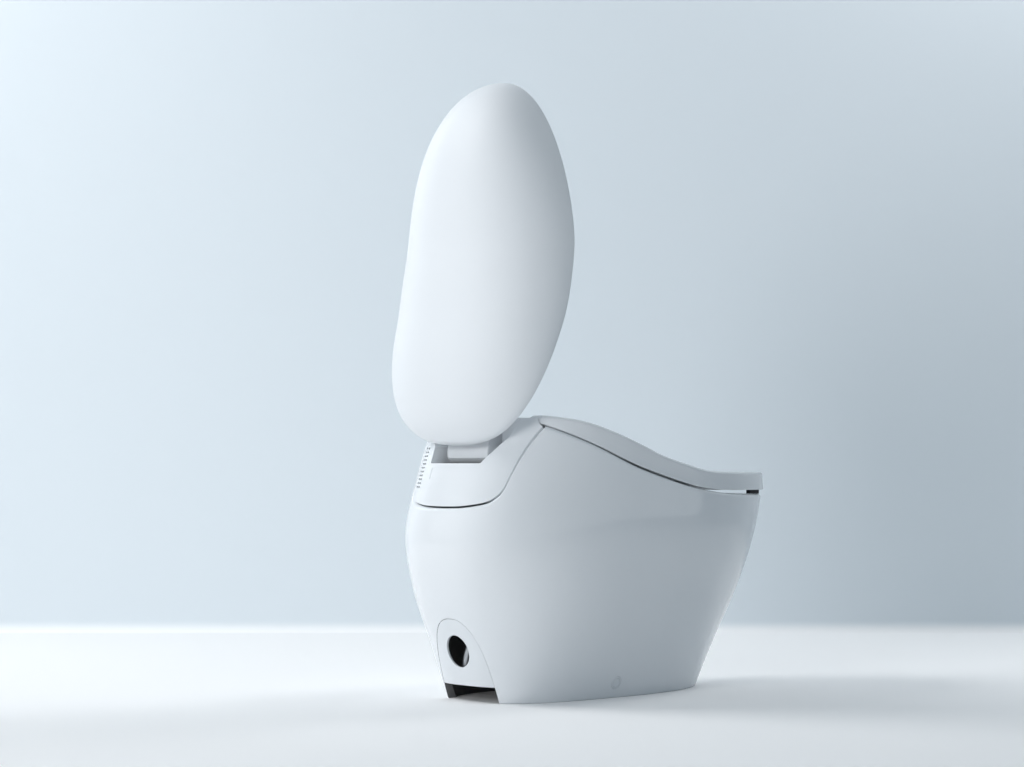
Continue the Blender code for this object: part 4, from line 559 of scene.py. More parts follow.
class Socket:
    """A shader socket that Python's operators can work on.

    An expression such as 1 - mask * 0.3 adds the Math nodes that work it out, and numbers
    alone never become nodes.
    """

    def __init__(self, finish: "Shader", link: bpy.types.NodeSocket) -> None:
        """Keeps the finish that owns the socket, and the socket."""
        self.finish = finish
        self.link = link

    def _math(self, operation: str, *values: "Socket | float") -> "Socket":
        """Adds one Math node for an operation on sockets or numbers."""
        return self.finish.node(
            "ShaderNodeMath", {"operation": operation}, dict(enumerate(values))
        )

    def __add__(self, other: "Socket | float") -> "Socket":
        """Sum with a socket or number."""
        return self._math("ADD", self, other)

    def __sub__(self, other: "Socket | float") -> "Socket":
        """Difference from a socket or number."""
        return self._math("SUBTRACT", self, other)

    def __rsub__(self, other: float) -> "Socket":
        """Difference with a number on the left."""
        return self._math("SUBTRACT", other, self)

    def __mul__(self, other: "Socket | float") -> "Socket":
        """Product with a socket or number."""
        return self._math("MULTIPLY", self, other)

    def ramp(self, low: float, high: float, to_low: float = 0.0, to_high: float = 1.0) -> "Socket":
        """Carries a range of values smoothly over to another.

        Args:
            low: Value that gives to_low.
            high: Value that gives to_high.
            to_low: Result at the low end.
            to_high: Result at the high end.

        Returns:
            The new value's socket.
        """
        return self.finish.node(
            "ShaderNodeMapRange",
            {"interpolation_type": "SMOOTHSTEP", "clamp": True},
            {0: self, 1: low, 2: high, 3: to_low, 4: to_high},
        )

    def mix(self, first: Sequence[float], second: Sequence[float]) -> "Socket":
        """Blends two colours by this value.

        Args:
            first: Red, green and blue at 0.
            second: Red, green and blue at 1.

        Returns:
            The colour's socket.
        """
        return self.finish.node(
            "ShaderNodeMix", {"data_type": "RGBA"},
            {0: self, 6: (*first, 1.0), 7: (*second, 1.0)}, output=2,
        )


class Shader:
    """The node tree of a material, or of a world, round its main node."""

    def __init__(
        self, name: str, owners: str = "materials", main: str = "Principled BSDF"
    ) -> None:
        """Starts a tree that has only its main node and output.

        Args:
            name: The material's or world's name.
            owners: Where Blender keeps it.
            main: The main node's name.
        """
        self.owner = getattr(bpy.data, owners).new(name)
        self.owner.use_nodes = True
        self.tree = self.owner.node_tree
        self.main = self.tree.nodes[main]

    def node(
        self, kind: str, settings: dict[str, object] | None = None,
        values: dict[int | str, object] | None = None, output: int = 0,
    ) -> Socket:
        """Adds any node: its settings first, then its sockets' values or links.

        Args:
            kind: The node's type.
            settings: Names and values of its settings.
            values: Values or sockets for its inputs, by number or name.
            output: Number of the output that is wanted.

        Returns:
            The wanted output.
        """
        made = self.tree.nodes.new(kind)
        for key, value in (settings or {}).items():
            setattr(made, key, value)
        for key, value in (values or {}).items():
            if isinstance(value, Socket):
                self.tree.links.new(value.link, made.inputs[key])
            else:
                made.inputs[key].default_value = value
        return Socket(self, made.outputs[output])

    def place(self) -> Socket:
        """The point on the object, in its own coordinates."""
        return self.node("ShaderNodeTexCoord", output=3)

    def noise(self, scale: float, detail: float) -> Socket:
        """Cloudy value from 0 to 1 over the object.

        Args:
            scale: How fine it is, in cycles for each metre.
            detail: Number of finer layers.

        Returns:
            The value's socket.
        """
        return self.node(
            "ShaderNodeTexNoise", None,
            {"Vector": self.place(), "Scale": scale, "Detail": detail},
        )

    def height(self, axis: int) -> Socket:
        """The object's own x, y or z at a point."""
        return self.node("ShaderNodeSeparateXYZ", None, {0: self.place()}, output=axis)

    def seen(self) -> Socket:
        """1 for rays that see the surface: straight, in a reflection or through glass."""
        straight, mirrored, through = (
            self.node("ShaderNodeLightPath", output=at) for at in (0, 3, 6)
        )
        return straight + mirrored + through

    def set(self, **values: object) -> "Shader":
        """Sets the main node's plain values or links, by its sockets' names.

        Args:
            **values: Socket names, with underscores for spaces, and their values.

        Returns:
            This finish.
        """
        for key, value in values.items():
            target = self.main.inputs[key.replace("_", " ")]
            if isinstance(value, Socket):
                self.tree.links.new(value.link, target)
            else:
                target.default_value = value
        return self

    def bump(self, height: Socket, depth: float, strength: float) -> "Shader":
        """Raises the surface by a value.

        Args:
            height: The value, from 0 to 1.
            depth: The height of 1, in metres.
            strength: Share of the effect.

        Returns:
            This finish.
        """
        normal = self.node(
            "ShaderNodeBump", None, {"Strength": strength, "Distance": depth, "Height": height}
        )
        return self.set(Normal=normal)


@dataclass(frozen=True)
class GlazedCeramic:
    """Thick white glaze with a slight drift of tone, a faint wave and a few pin marks."""

    tone: Colour = (0.830, 0.848, 0.868)
    shade: Colour = (0.800, 0.822, 0.848)
    name: str = "glazed_ceramic"

    def make(self) -> bpy.types.Material:
        """Builds the glaze."""
        s = Shader(self.name)
        cloud = s.noise(5.0, 3.0)
        fine = s.noise(60.0, 2.0)
        pins = s.noise(420.0, 1.0).ramp(0.70, 0.78)
        s.set(
            Base_Color=(cloud * 0.8 + fine * 0.2).mix(self.shade, self.tone),
            Roughness=fine.ramp(0.35, 0.65, 0.07, 0.11) + pins * 0.08,
            IOR=1.52, Coat_Weight=0.35, Coat_Roughness=0.03,
        )
        s.bump(cloud * 0.7 + fine * 0.3 - pins * 0.05, 0.0006, 0.5)
        return s.owner


@dataclass(frozen=True)
class MouldedPlastic:
    """Injection-moulded plastic with a fine skin, at a given gloss."""

    name: str
    tone: Colour
    roughness: float
    grain: float = 420.0
    depth: float = 0.00001
    coat: float = 0.0

    def make(self) -> bpy.types.Material:
        """Builds the plastic."""
        s = Shader(self.name)
        drift = s.noise(4.0, 2.0)
        skin = s.noise(self.grain, 2.0)
        dark = tuple(0.965 * c for c in self.tone)
        s.set(
            Base_Color=(drift * 0.7 + skin * 0.3).mix(dark, self.tone),
            Roughness=skin.ramp(0.3, 0.7, 0.86 * self.roughness, 1.14 * self.roughness),
            IOR=1.49, Coat_Weight=self.coat, Coat_Roughness=0.05,
        )
        s.bump(skin, self.depth, 0.4)
        return s.owner


@dataclass(frozen=True)
class SoftRubber:
    """Matt black rubber with a dusty bloom."""

    name: str = "soft_rubber"

    def make(self) -> bpy.types.Material:
        """Builds the rubber."""
        s = Shader(self.name)
        dust = s.noise(90.0, 3.0)
        s.set(
            Base_Color=dust.mix((0.020, 0.020, 0.022), (0.055, 0.055, 0.058)),
            Roughness=dust.ramp(0.3, 0.7, 0.62, 0.82), IOR=1.5,
        )
        s.bump(s.noise(700.0, 1.0), 0.0001, 0.5)
        return s.owner


@dataclass(frozen=True)
class BrushedMetal:
    """Metal with a fine grain and a slow drift of tone."""

    name: str
    tone: Colour
    roughness: float = 0.28

    def make(self) -> bpy.types.Material:
        """Builds the metal."""
        s = Shader(self.name)
        lines = s.noise(900.0, 1.0)
        drift = s.noise(30.0, 2.0)
        dark = tuple(0.82 * c for c in self.tone)
        s.set(
            Base_Color=(lines * 0.4 + drift * 0.6).mix(dark, self.tone),
            Roughness=lines.ramp(0.3, 0.7, self.roughness, self.roughness + 0.14),
            Metallic=1.0,
        )
        s.bump(lines, 0.00005, 0.5)
        return s.owner


class Finish(Enum):
    """The object's finishes by the name of what they are on."""

    CERAMIC = GlazedCeramic()
    LID = MouldedPlastic("lid_plastic", (0.800, 0.818, 0.840), 0.32, coat=0.10)
    COVER = MouldedPlastic("cover_plastic", (0.800, 0.822, 0.846), 0.20, coat=0.20)
    SEAT = MouldedPlastic("seat_plastic", (0.815, 0.832, 0.852), 0.16, coat=0.25)
    UNIT = MouldedPlastic("unit_plastic", (0.780, 0.800, 0.822), 0.30)
    GREY = MouldedPlastic("grey_plastic", (0.300, 0.310, 0.325), 0.45, depth=0.0001)
    DARK = MouldedPlastic("dark_plastic", (0.035, 0.036, 0.040), 0.50, depth=0.0001)
    BOARD = MouldedPlastic("board_case", (0.030, 0.110, 0.055), 0.45)
    RUBBER = SoftRubber()
    STEEL = BrushedMetal("brushed_steel", (0.56, 0.57, 0.59))
    # Rough unglazed ceramic for the skirt's inner faces, painted dark grey as the shade inside the
    # skirt
    UNGLAZED_PAINTED_SHADE = MouldedPlastic("unglazed_ceramic_painted_shade", (0.20, 0.20, 0.20), 0.85, grain=120.0, depth=0.0002)
    BRAID = BrushedMetal("braided_steel", (0.50, 0.51, 0.53), 0.38)


class Dresser:
    """Keeps one made material for each finish and puts it on pieces."""

    def __init__(self) -> None:
        """Starts with no materials made."""
        self.made: dict[Finish, bpy.types.Material] = {}

    def finish(self, finish: Finish) -> bpy.types.Material:
        """The material of a finish, made when it is first wanted.

        Args:
            finish: The finish.

        Returns:
            The material.
        """
        if finish not in self.made:
            self.made[finish] = finish.value.make()
        return self.made[finish]

    def dress(self, piece: Piece, finish: Finish) -> None:
        """Puts a finish on a piece in place of what it has."""
        piece.data.materials.clear()
        piece.data.materials.append(self.finish(finish))

    def add(self, piece: Piece, finish: Finish, where: np.ndarray) -> None:
        """Puts a second finish on the faces whose truth value says so.

        Args:
            piece: The piece.
            finish: The second finish.
            where: One truth value for each face.
        """
        piece.data.materials.append(self.finish(finish))
        piece.data.polygons.foreach_set("material_index", where.astype(np.int32))
        piece.data.update()

    def fit(
        self, piece: Piece, finish: Finish, body: str, node: str, slot: Slot
    ) -> Piece:
        """Dresses a piece and puts it in place of a solid.

        Args:
            piece: The piece.
            finish: Its finish.
            body: The body that it moves with.
            node: The solid that it stands for.
            slot: Not used.

        Returns:
            The same piece.
        """
        self.dress(piece, finish)
        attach(piece, body)
        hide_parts(node)
        return piece


# Blocks of the shared form


def bay_block(name: str, clearance: float, front: float, rear: float) -> Piece:
    """The washing unit's U carried along Y between two places, closed far above.

    Args:
        name: The piece's name.
        clearance: Distance moved in.
        front: Where it starts.
        rear: Where it ends.

    Returns:
        The solid.
    """
    top = 0.58
    x, z = FORM.parting_line(clearance)
    high = [[x[-1], top], [-x[-1], top]]
    outline = np.concatenate([pack(-x[:0:-1], z[:0:-1]), pack(x, z), high])
    return prism(name, outline, 1, front, rear)


def envelope_block(
    name: str, inset: float, low: float, high: float, columns: int = 300, rows: int = 30
) -> Piece:
    """The outer form between two heights as a solid.

    Args:
        name: The piece's name.
        inset: Distance moved in.
        low: Lower height.
        high: Upper height.
        columns: Points round it.
        rows: Levels.

    Returns:
        The solid.
    """
    angle = around(columns)
    points = []
    for z in np.linspace(low, high, rows):
        level = np.full_like(angle, np.clip(z, 0.0, FORM.top))
        points.append(pack(*FORM.envelope(angle, level, inset), z))
    return grid_piece(name, np.stack(points))


def above(name: str, line: Line, drop: float) -> Piece:
    """Everything over a line that runs from front to rear, lowered by a drop.

    Args:
        name: The piece's name.
        line: Heights over y.
        drop: Distance moved down.

    Returns:
        The solid.
    """
    reach, top, half = 0.44, 0.62, 0.26
    y = np.linspace(-reach, reach, 260)
    over = np.concatenate([pack(y, line(y) - drop), [[reach, top], [-reach, top]]])
    return prism(name, over, 0, -half, half)


# Ceramic


@dataclass
class CeramicBowl:
    """One-piece ceramic: skirt with its rolled edge, rim, basin, waste way and foot."""

    columns: int = 360
    lip: float = 0.0065
    wall: float = 0.014
    foot_radius: float = 0.002
    deck_wall: float = 0.016
    basin_front: float = -0.338
    basin_rear: float = 0.108
    basin_half: float = 0.160
    basin_floor: float = 0.150
    basin_waist: float = -0.050
    basin_wall: float = 0.012
    arch_half: float = 0.070
    arch_height: float = 0.150
    arch_powers: tuple[float, float] = (2.5, 2.6)
    arch_front: float = 0.285
    basin_power: float = 2.25
    trap_radius: float = 0.030
    trap_bore: float = 0.0235
    trap_lead: tuple[float, float, float] = (0.0, -0.024, 0.006)
    trap_inlay: float = 0.25
    rim_inset: float = 0.006
    rim_skin: float = 0.0002
    mouth_half: float = 0.075
    mouth_heights: tuple[float, float] = (0.3484, 0.56)
    mouth_reach: tuple[float, float] = (0.078, 0.205)
    deck_hole: float = 0.011
    deck_holes: Rows = ((-0.075, 0.334, 0.340), (0.075, 0.334, 0.340))
    basin_rows: Rows = (
        (0.000, 0.060, 0.560, 0.230), (0.030, 0.130, 0.700, 0.330),
        (0.085, 0.240, 0.800, 0.440), (0.190, 0.430, 0.870, 0.570),
        (0.360, 0.670, 0.930, 0.740), (0.580, 0.870, 0.970, 0.890),
        (0.800, 0.965, 0.990, 0.970), (1.000, 1.000, 1.000, 1.000),
    )
    trap_rows: Rows = (
        (0.000, 0.184), (0.055, 0.158), (0.105, 0.150), (0.148, 0.172), (0.178, 0.214),
        (0.212, 0.230), (0.242, 0.198), (0.228, 0.152), (0.180, 0.116), (0.130, 0.092),
        (0.103, 0.074), (0.0935, 0.056), (0.0935, 0.046), (0.0935, 0.020),
    )

    def edge_height(self, angle: Grid) -> Grid:
        """Height of the skirt's upper edge at each angle: the lower of the rim's line and
        the rear cover's U line, found by halving the interval that holds the crossing.

        Args:
            angle: Angles round the bowl.

        Returns:
            The heights.
        """
        low, high = np.full(angle.shape, 0.30), np.full(angle.shape, FORM.top)
        for _ in range(36):
            middle = (low + high) / 2
            x, y = FORM.envelope(angle, middle)
            line = np.where(
                y > FORM.bay_front_y,
                np.minimum(FORM.glaze_top(y), FORM.parting_height(x)), FORM.glaze_top(y),
            )
            over = middle >= line
            high = np.where(over, middle, high)
            low = np.where(over, low, middle)
        return high

    def edge_angles(self) -> Grid:
        """Angles whose places on the upper edge are evenly spaced along it."""
        dense = np.linspace(0, 2 * np.pi, 6001)
        z = self.edge_height(dense)
        x, y = FORM.envelope(dense, z)
        steps = np.sqrt(np.diff(x) ** 2 + np.diff(y) ** 2 + np.diff(z) ** 2)
        run = np.concatenate([[0.0], np.cumsum(steps)])
        at = np.linspace(0, run[-1], self.columns, endpoint=False)
        return np.interp(at, run, dense)

    def skirt(self) -> Piece:
        """Skirt as one closed shell: for each angle the path goes up the outside, round a
        quarter-circle lip, inwards by the wall and down the inside."""
        angle = self.edge_angles()
        top = self.edge_height(angle)
        foot, side = self.foot_radius, np.linspace(0, 1, 72)[1:]
        rows = [(a, np.full_like(top, b)) for a, b in quarter(foot, 4)]
        rows += [(0.0, foot + (top - self.lip - foot) * share) for share in side]
        rows += [(b, top - a) for a, b in quarter(self.lip, 13)[1:]]
        rows += [(self.wall, top * share) for share in np.linspace(1, 0, 14)]
        points = [pack(*FORM.envelope(angle, height, inset), height) for inset, height in rows]
        skirt = grid_piece("ceramic_skirt", np.stack(points), close_rows=True)
        return smooth(cut(skirt, self.arch("arch_cutter", 0.0)))

    def arch(self, name: str, clearance: float) -> Piece:
        """The foot's arch as a solid through the rear wall: (x/half)^2.5 + (z/height)^2.6 = 1
        above the floor, and straight below it.

        Args:
            name: The piece's name.
            clearance: Distance moved in.

        Returns:
            The solid.
        """
        half, height = self.arch_half - clearance, self.arch_height - clearance
        across, up = self.arch_powers
        z = height * np.sin(np.linspace(0.02, np.pi / 2, 40))
        x = half * np.maximum(1 - (z / height) ** up, 0.0) ** (1 / across)
        sides = [pack(x, z), pack(-x[-2::-1], z[-2::-1])]
        outline = np.concatenate([[[half, -0.03]], *sides, [[-half, -0.03]]])
        return prism(name, outline, 1, self.arch_front, BEHIND)

    def basin_ring(self, down: Grid, grow: float) -> Grid:
        """Points of the basin's wall: an egg whose reach and width follow a table of its
        depth.

        Args:
            down: Shares of the depth, from the floor up.
            grow: Distance moved out.

        Returns:
            Array of depths by angles by three.
        """
        depth = FORM.rim_front - self.basin_floor
        down = np.asarray(down)[:, None]
        front = (self.basin_waist - self.basin_front) * wave(self.basin_rows, 1, down)
        rear = (self.basin_rear - self.basin_waist) * wave(self.basin_rows, 2, down)
        half = self.basin_half * wave(self.basin_rows, 3, down) + grow
        x, y = egg(
            around(144)[None], half, self.basin_waist - front - grow,
            self.basin_waist + rear + grow, self.basin_waist, self.basin_power, self.basin_power,
        )
        return pack(x, y, self.basin_floor - grow + (depth + grow) * down)

    def basin(self) -> Piece:
        """Basin as a closed bowl: inner wall up, over and down the outer wall."""
        shares = np.concatenate([np.linspace(0, 0.1, 10), np.linspace(0.1, 0.86, 34)[1:]])
        inner = self.basin_ring(shares, 0.0)
        outer = self.basin_ring(shares[::-1], self.basin_wall)
        bowl = grid_piece("ceramic_basin", np.concatenate([inner, outer]))
        return smooth(cut(bowl, self.waste_pipe("bore", self.trap_bore, 0.0)))

    def basin_space(self, grow: float) -> Piece:
        """The room inside the basin, moved out by a distance and carried on above it."""
        shares = np.append(np.linspace(0.0, 1.0, 30), 1.9)
        return grid_piece("basin_space", self.basin_ring(shares, grow))

    def waste_pipe(self, name: str, radius: float, bore: float) -> Piece:
        """The waste way's pipe, or its bore as a solid, led on into the basin.

        Args:
            name: The piece's name.
            radius: Outer radius.
            bore: Inner radius, or 0 for a solid bar.

        Returns:
            The pipe.
        """
        path = pack(0.0, *through(self.trap_rows, 90))
        path = np.concatenate([path[:1] + self.trap_lead, path])
        return pipe(name, path, radius, 40, bore, (1.0, 0.0, 0.0))

    def waste_way(self) -> Piece:
        """The pipe from the basin's floor to the outlet."""
        way = self.waste_pipe("ceramic_waste_way", self.trap_radius, self.trap_bore)
        return smooth(cut(way, self.basin_space(self.trap_inlay * self.basin_wall)))

    def rim(self) -> Piece:
        """Upper ceramic between skirt and basin: the envelope, cut by the rim's saddle, the
        basin, the washing unit's bay and the way for its front."""
        low = FORM.deck - self.deck_wall
        rim = envelope_block("ceramic_rim", self.rim_inset, low, FORM.top, 220, 16)
        reach = 0.42
        y = np.linspace(-reach, reach, 150)
        line = pack(y, FORM.glaze_top(y) - self.rim_skin)
        over = np.concatenate([line, [[reach, OVER], [-reach, OVER]]])
        cut(rim, prism("saddle_cutter", over, 0, -ACROSS, ACROSS), self.basin_space(0.0))
        cut(rim, bay_block("bay_cutter", 0.0, FORM.bay_front_y, BEHIND))
        mouth = box_outline(-self.mouth_half, self.mouth_half, *self.mouth_heights)
        cut(rim, prism("mouth_cutter", mouth, 1, *self.mouth_reach))
        for place in self.deck_holes:
            cut(rim, rod("deck_hole", self.deck_hole, -0.03, 0.03, place, (0, 0, 1)))
        return smooth(rim)

    def inward(self, skirt: Piece) -> Grid:
        """Whether each face of the skirt looks inwards: no glaze there, and painted shade.

        Args:
            skirt: The skirt.

        Returns:
            One truth value for each face.
        """
        count = len(skirt.data.polygons)
        normals, middles = np.empty(3 * count), np.empty(3 * count)
        skirt.data.polygons.foreach_get("normal", normals)
        skirt.data.polygons.foreach_get("center", middles)
        normals, middles = normals.reshape(-1, 3), middles.reshape(-1, 3)
        middles[:, 1] -= FORM.waist
        return np.sum(normals[:, :2] * middles[:, :2], axis=1) < -0.02

    def build(self, dresser: Dresser, cap: SideCap) -> list[Piece]:
        """Makes and dresses the ceramic in place of its solid.

        Args:
            dresser: Gives the finishes.
            cap: The side cap, whose seats are cut.

        Returns:
            The ceramic's pieces.
        """
        skirt = self.skirt()
        for side in (-1, 1):
            cut(skirt, *cap.cutters(side))
        pieces = [smooth(skirt), self.rim(), self.basin(), self.waste_way()]
        for piece in pieces:
            dresser.fit(piece, Finish.CERAMIC, "toilet", "bowl_body", Slot.CERAMIC)
        # Painted shade: the skirt's inward faces get the dark grey unglazed finish in place of the
        # shade inside the skirt
        dresser.add(skirt, Finish.UNGLAZED_PAINTED_SHADE, self.inward(skirt))
        return pieces


# Seat


@dataclass
class Seat:
    """Seat with two arms that climb the saddle to the hinge, hollow below."""

    columns: int = 288
    half: float = 0.2110
    rear: float = 0.3360
    form_height: float = 0.480
    hole_half: float = 0.108
    hole_front: float = -0.278
    hole_rear: float = 0.066
    hole_waist: float = -0.086
    hole_power: float = 2.2
    edge: float = 0.007
    foot_edge: float = 0.0014
    tuck: float = 0.0012
    draft: float = 0.0030
    dish: float = 0.0040
    wall: float = 0.0035
    gap: float = 0.0015
    lift: float = 0.0050
    lift_y: float = -0.050
    lift_length: float = 0.250
    arm_inner: float = 0.118
    bridge_rear: float = 0.202
    bridge_half: float = 0.076
    bridge_front: float = 0.080
    bridge_wall: float = 0.013
    hollow_rear: float = 0.190
    hinge: tuple[float, float] = (0.2745, 0.5025)
    end_radius: float = 0.0105
    pin_radius: float = 0.0038
    pin_reach: tuple[float, float] = (-0.01, 0.0183)
    below: float = 0.33
    over: float = 0.56

    def top(self, y: Grid) -> Grid:
        """Height of the seat's upper surface before its dish."""
        return FORM.seat_top(y) - self.gap

    def foot(self, y: Grid) -> Grid:
        """Height of the underside, which lifts off the rim towards the front."""
        return FORM.rim(y) + self.lift * smoothstep(0.0, self.lift_length, self.lift_y - y)

    def outline(self, angle: Grid, inset: float) -> tuple[Grid, Grid]:
        """Outer outline, moved in by an inset.

        Args:
            angle: Angles from +X towards +Y.
            inset: Distance moved in.

        Returns:
            The x and y of the points.
        """
        share = np.array(self.form_height / FORM.top)
        powers = (wave(FORM.envelope_rows, k, share) for k in (4, 5))
        return egg(
            angle, self.half - inset, -FORM.half_depth + inset, self.rear - inset,
            FORM.waist, *powers,
        )

    def hole(self, angle: Grid, grow: float) -> tuple[Grid, Grid]:
        """Outline of the opening, moved out by a distance.

        Args:
            angle: Angles from +X towards +Y.
            grow: Distance moved out.

        Returns:
            The x and y of the points.
        """
        return egg(
            angle, self.hole_half + grow, self.hole_front - grow, self.hole_rear + grow,
            self.hole_waist, self.hole_power, self.hole_power,
        )

    def ring(self, name: str, rows: Sequence[tuple[float, float, Line]]) -> Piece:
        """Ring round the opening. Each row gives the share of the way from the opening to
        the outer edge, the inset from the nearer edge and the height over y.

        Args:
            name: The piece's name.
            rows: The section's points, in order round it.

        Returns:
            The ring.
        """
        angle = around(self.columns)
        points = []
        for share, inset, height in rows:
            (ox, oy), (ix, iy) = self.outline(angle, inset), self.hole(angle, inset)
            x, y = ix + (ox - ix) * share, iy + (oy - iy) * share
            points.append(pack(x, y, height(y)))
        return grid_piece(name, np.stack(points), close_rows=True)

    def section(self) -> list[tuple[float, float, Line]]:
        """Section of the seat: a small edge below, up the side, a quarter circle, over the
        dish and down a second quarter circle into the opening."""
        small, large, dish = self.foot_edge, self.edge, self.dish
        rows = [(1.0, a + self.tuck, raised(self.foot, b)) for a, b in quarter(small, 5)]
        rows += [(1.0, b + self.draft, raised(self.top, -a)) for a, b in quarter(large, 11)]
        for share in np.linspace(1, 0, 26)[1:-1]:
            drop = dish * (1 - float(smoothstep(0.2, 1.0, share)))
            rows.append((share, large + self.draft * share, raised(self.top, -drop)))
        rows += [(0.0, b, raised(self.top, -(a + dish))) for a, b in quarter(large, 11, True)]
        rows += [(0.0, a, raised(self.foot, b)) for a, b in quarter(small, 4, True)]
        return rows + [(share, small, self.foot) for share in (0.2, 0.4, 0.6, 0.8)]

    def hollow(self) -> Piece:
        """The space inside the seat, open below, kept to the part before the arms."""
        wall, edge = self.wall, self.edge
        low, shoulder = raised(FORM.rim, -0.03), raised(self.top, -edge)
        ceiling = raised(raised(self.top, -wall), -self.dish)
        rows = [(1.0, wall, low), (1.0, wall, shoulder)]
        rows += [(share, wall + edge, ceiling) for share in (1.0, 0.65, 0.35, 0.0)]
        rows += [(0.0, wall, raised(shoulder, -self.dish)), (0.0, wall, low)]
        band = self.ring("seat_hollow", rows)
        ahead = box_outline(AHEAD, self.hollow_rear, 0.30, OVER)
        combine(band, prism("keep", ahead, 0, -ACROSS, ACROSS), Cut.KEEP)
        room = self.bridge_half + wall
        middle = box_outline(-room, room, self.bridge_front - 2 * wall, 0.45)
        return cut(band, prism("middle", middle, 2, 0.30, OVER))

    def arm_side(self) -> Grid:
        """Side view of what stays: all in front of the hinge, rounded about its axis."""
        y = self.hinge[0]
        end = arc(self.hinge, self.end_radius, -np.pi / 2, np.pi / 2, 28)
        low, high = [[AHEAD, self.below], [y, self.below]], [[y, self.over], [AHEAD, self.over]]
        return np.concatenate([low, end, high])

    def arm_space(self) -> Piece:
        """The space under the arms, down to the rim's height."""
        end = self.hinge[0] + self.end_radius + 0.001
        y = np.linspace(self.bridge_rear, end, 40)
        floor = np.minimum(FORM.rim(y), self.hinge[1] - self.end_radius)
        low = self.below + 0.01
        outline = np.concatenate([[[self.bridge_rear, low]], pack(y, floor), [[end, low]]])
        return prism("arm_space", outline[::-1], 0, -ACROSS, ACROSS)

    def bridge_room(self) -> Piece:
        """Room under the bridge for the front of the washing unit."""
        y = np.linspace(self.bridge_front, self.bridge_rear + 0.03, 60)
        line = pack(y, self.top(y) - self.bridge_wall)
        outline = np.concatenate([line, [[y[-1], FORM.rim_front], [y[0], FORM.rim_front]]])
        return prism("bridge_room", outline, 0, -self.bridge_half, self.bridge_half)

    def pin_ways(self, reach: tuple[float, float]) -> list[Piece]:
        """Cutters for the hinge pins, between two places from the arms' inner sides.

        Args:
            reach: The two places.

        Returns:
            One cutter for each side.
        """
        ways = []
        for side in (-1, 1):
            start, end = (side * (self.arm_inner + place) for place in reach)
            ways.append(rod("pin_way", self.pin_radius, start, end, (0.0, *self.hinge), (1, 0, 0)))
        return ways

    def build(self, dresser: Dresser) -> list[Piece]:
        """Makes and dresses the seat in place of its solid.

        Args:
            dresser: Gives the finishes.

        Returns:
            The seat's piece.
        """
        seat = self.ring("seat_ring", self.section())
        bay = box_outline(-self.arm_inner, self.arm_inner, self.bridge_rear, BEHIND)
        cut(seat, prism("seat_bay", bay, 2, self.below, self.over))
        combine(seat, prism("seat_side", self.arm_side(), 0, -ACROSS, ACROSS), Cut.KEEP)
        cut(seat, self.arm_space(), self.bridge_room(), self.hollow())
        cut(seat, *self.pin_ways(self.pin_reach))
        return [dresser.fit(smooth(seat), Finish.SEAT, "seat", "seat_shell", Slot.WHITE)]


# Lid


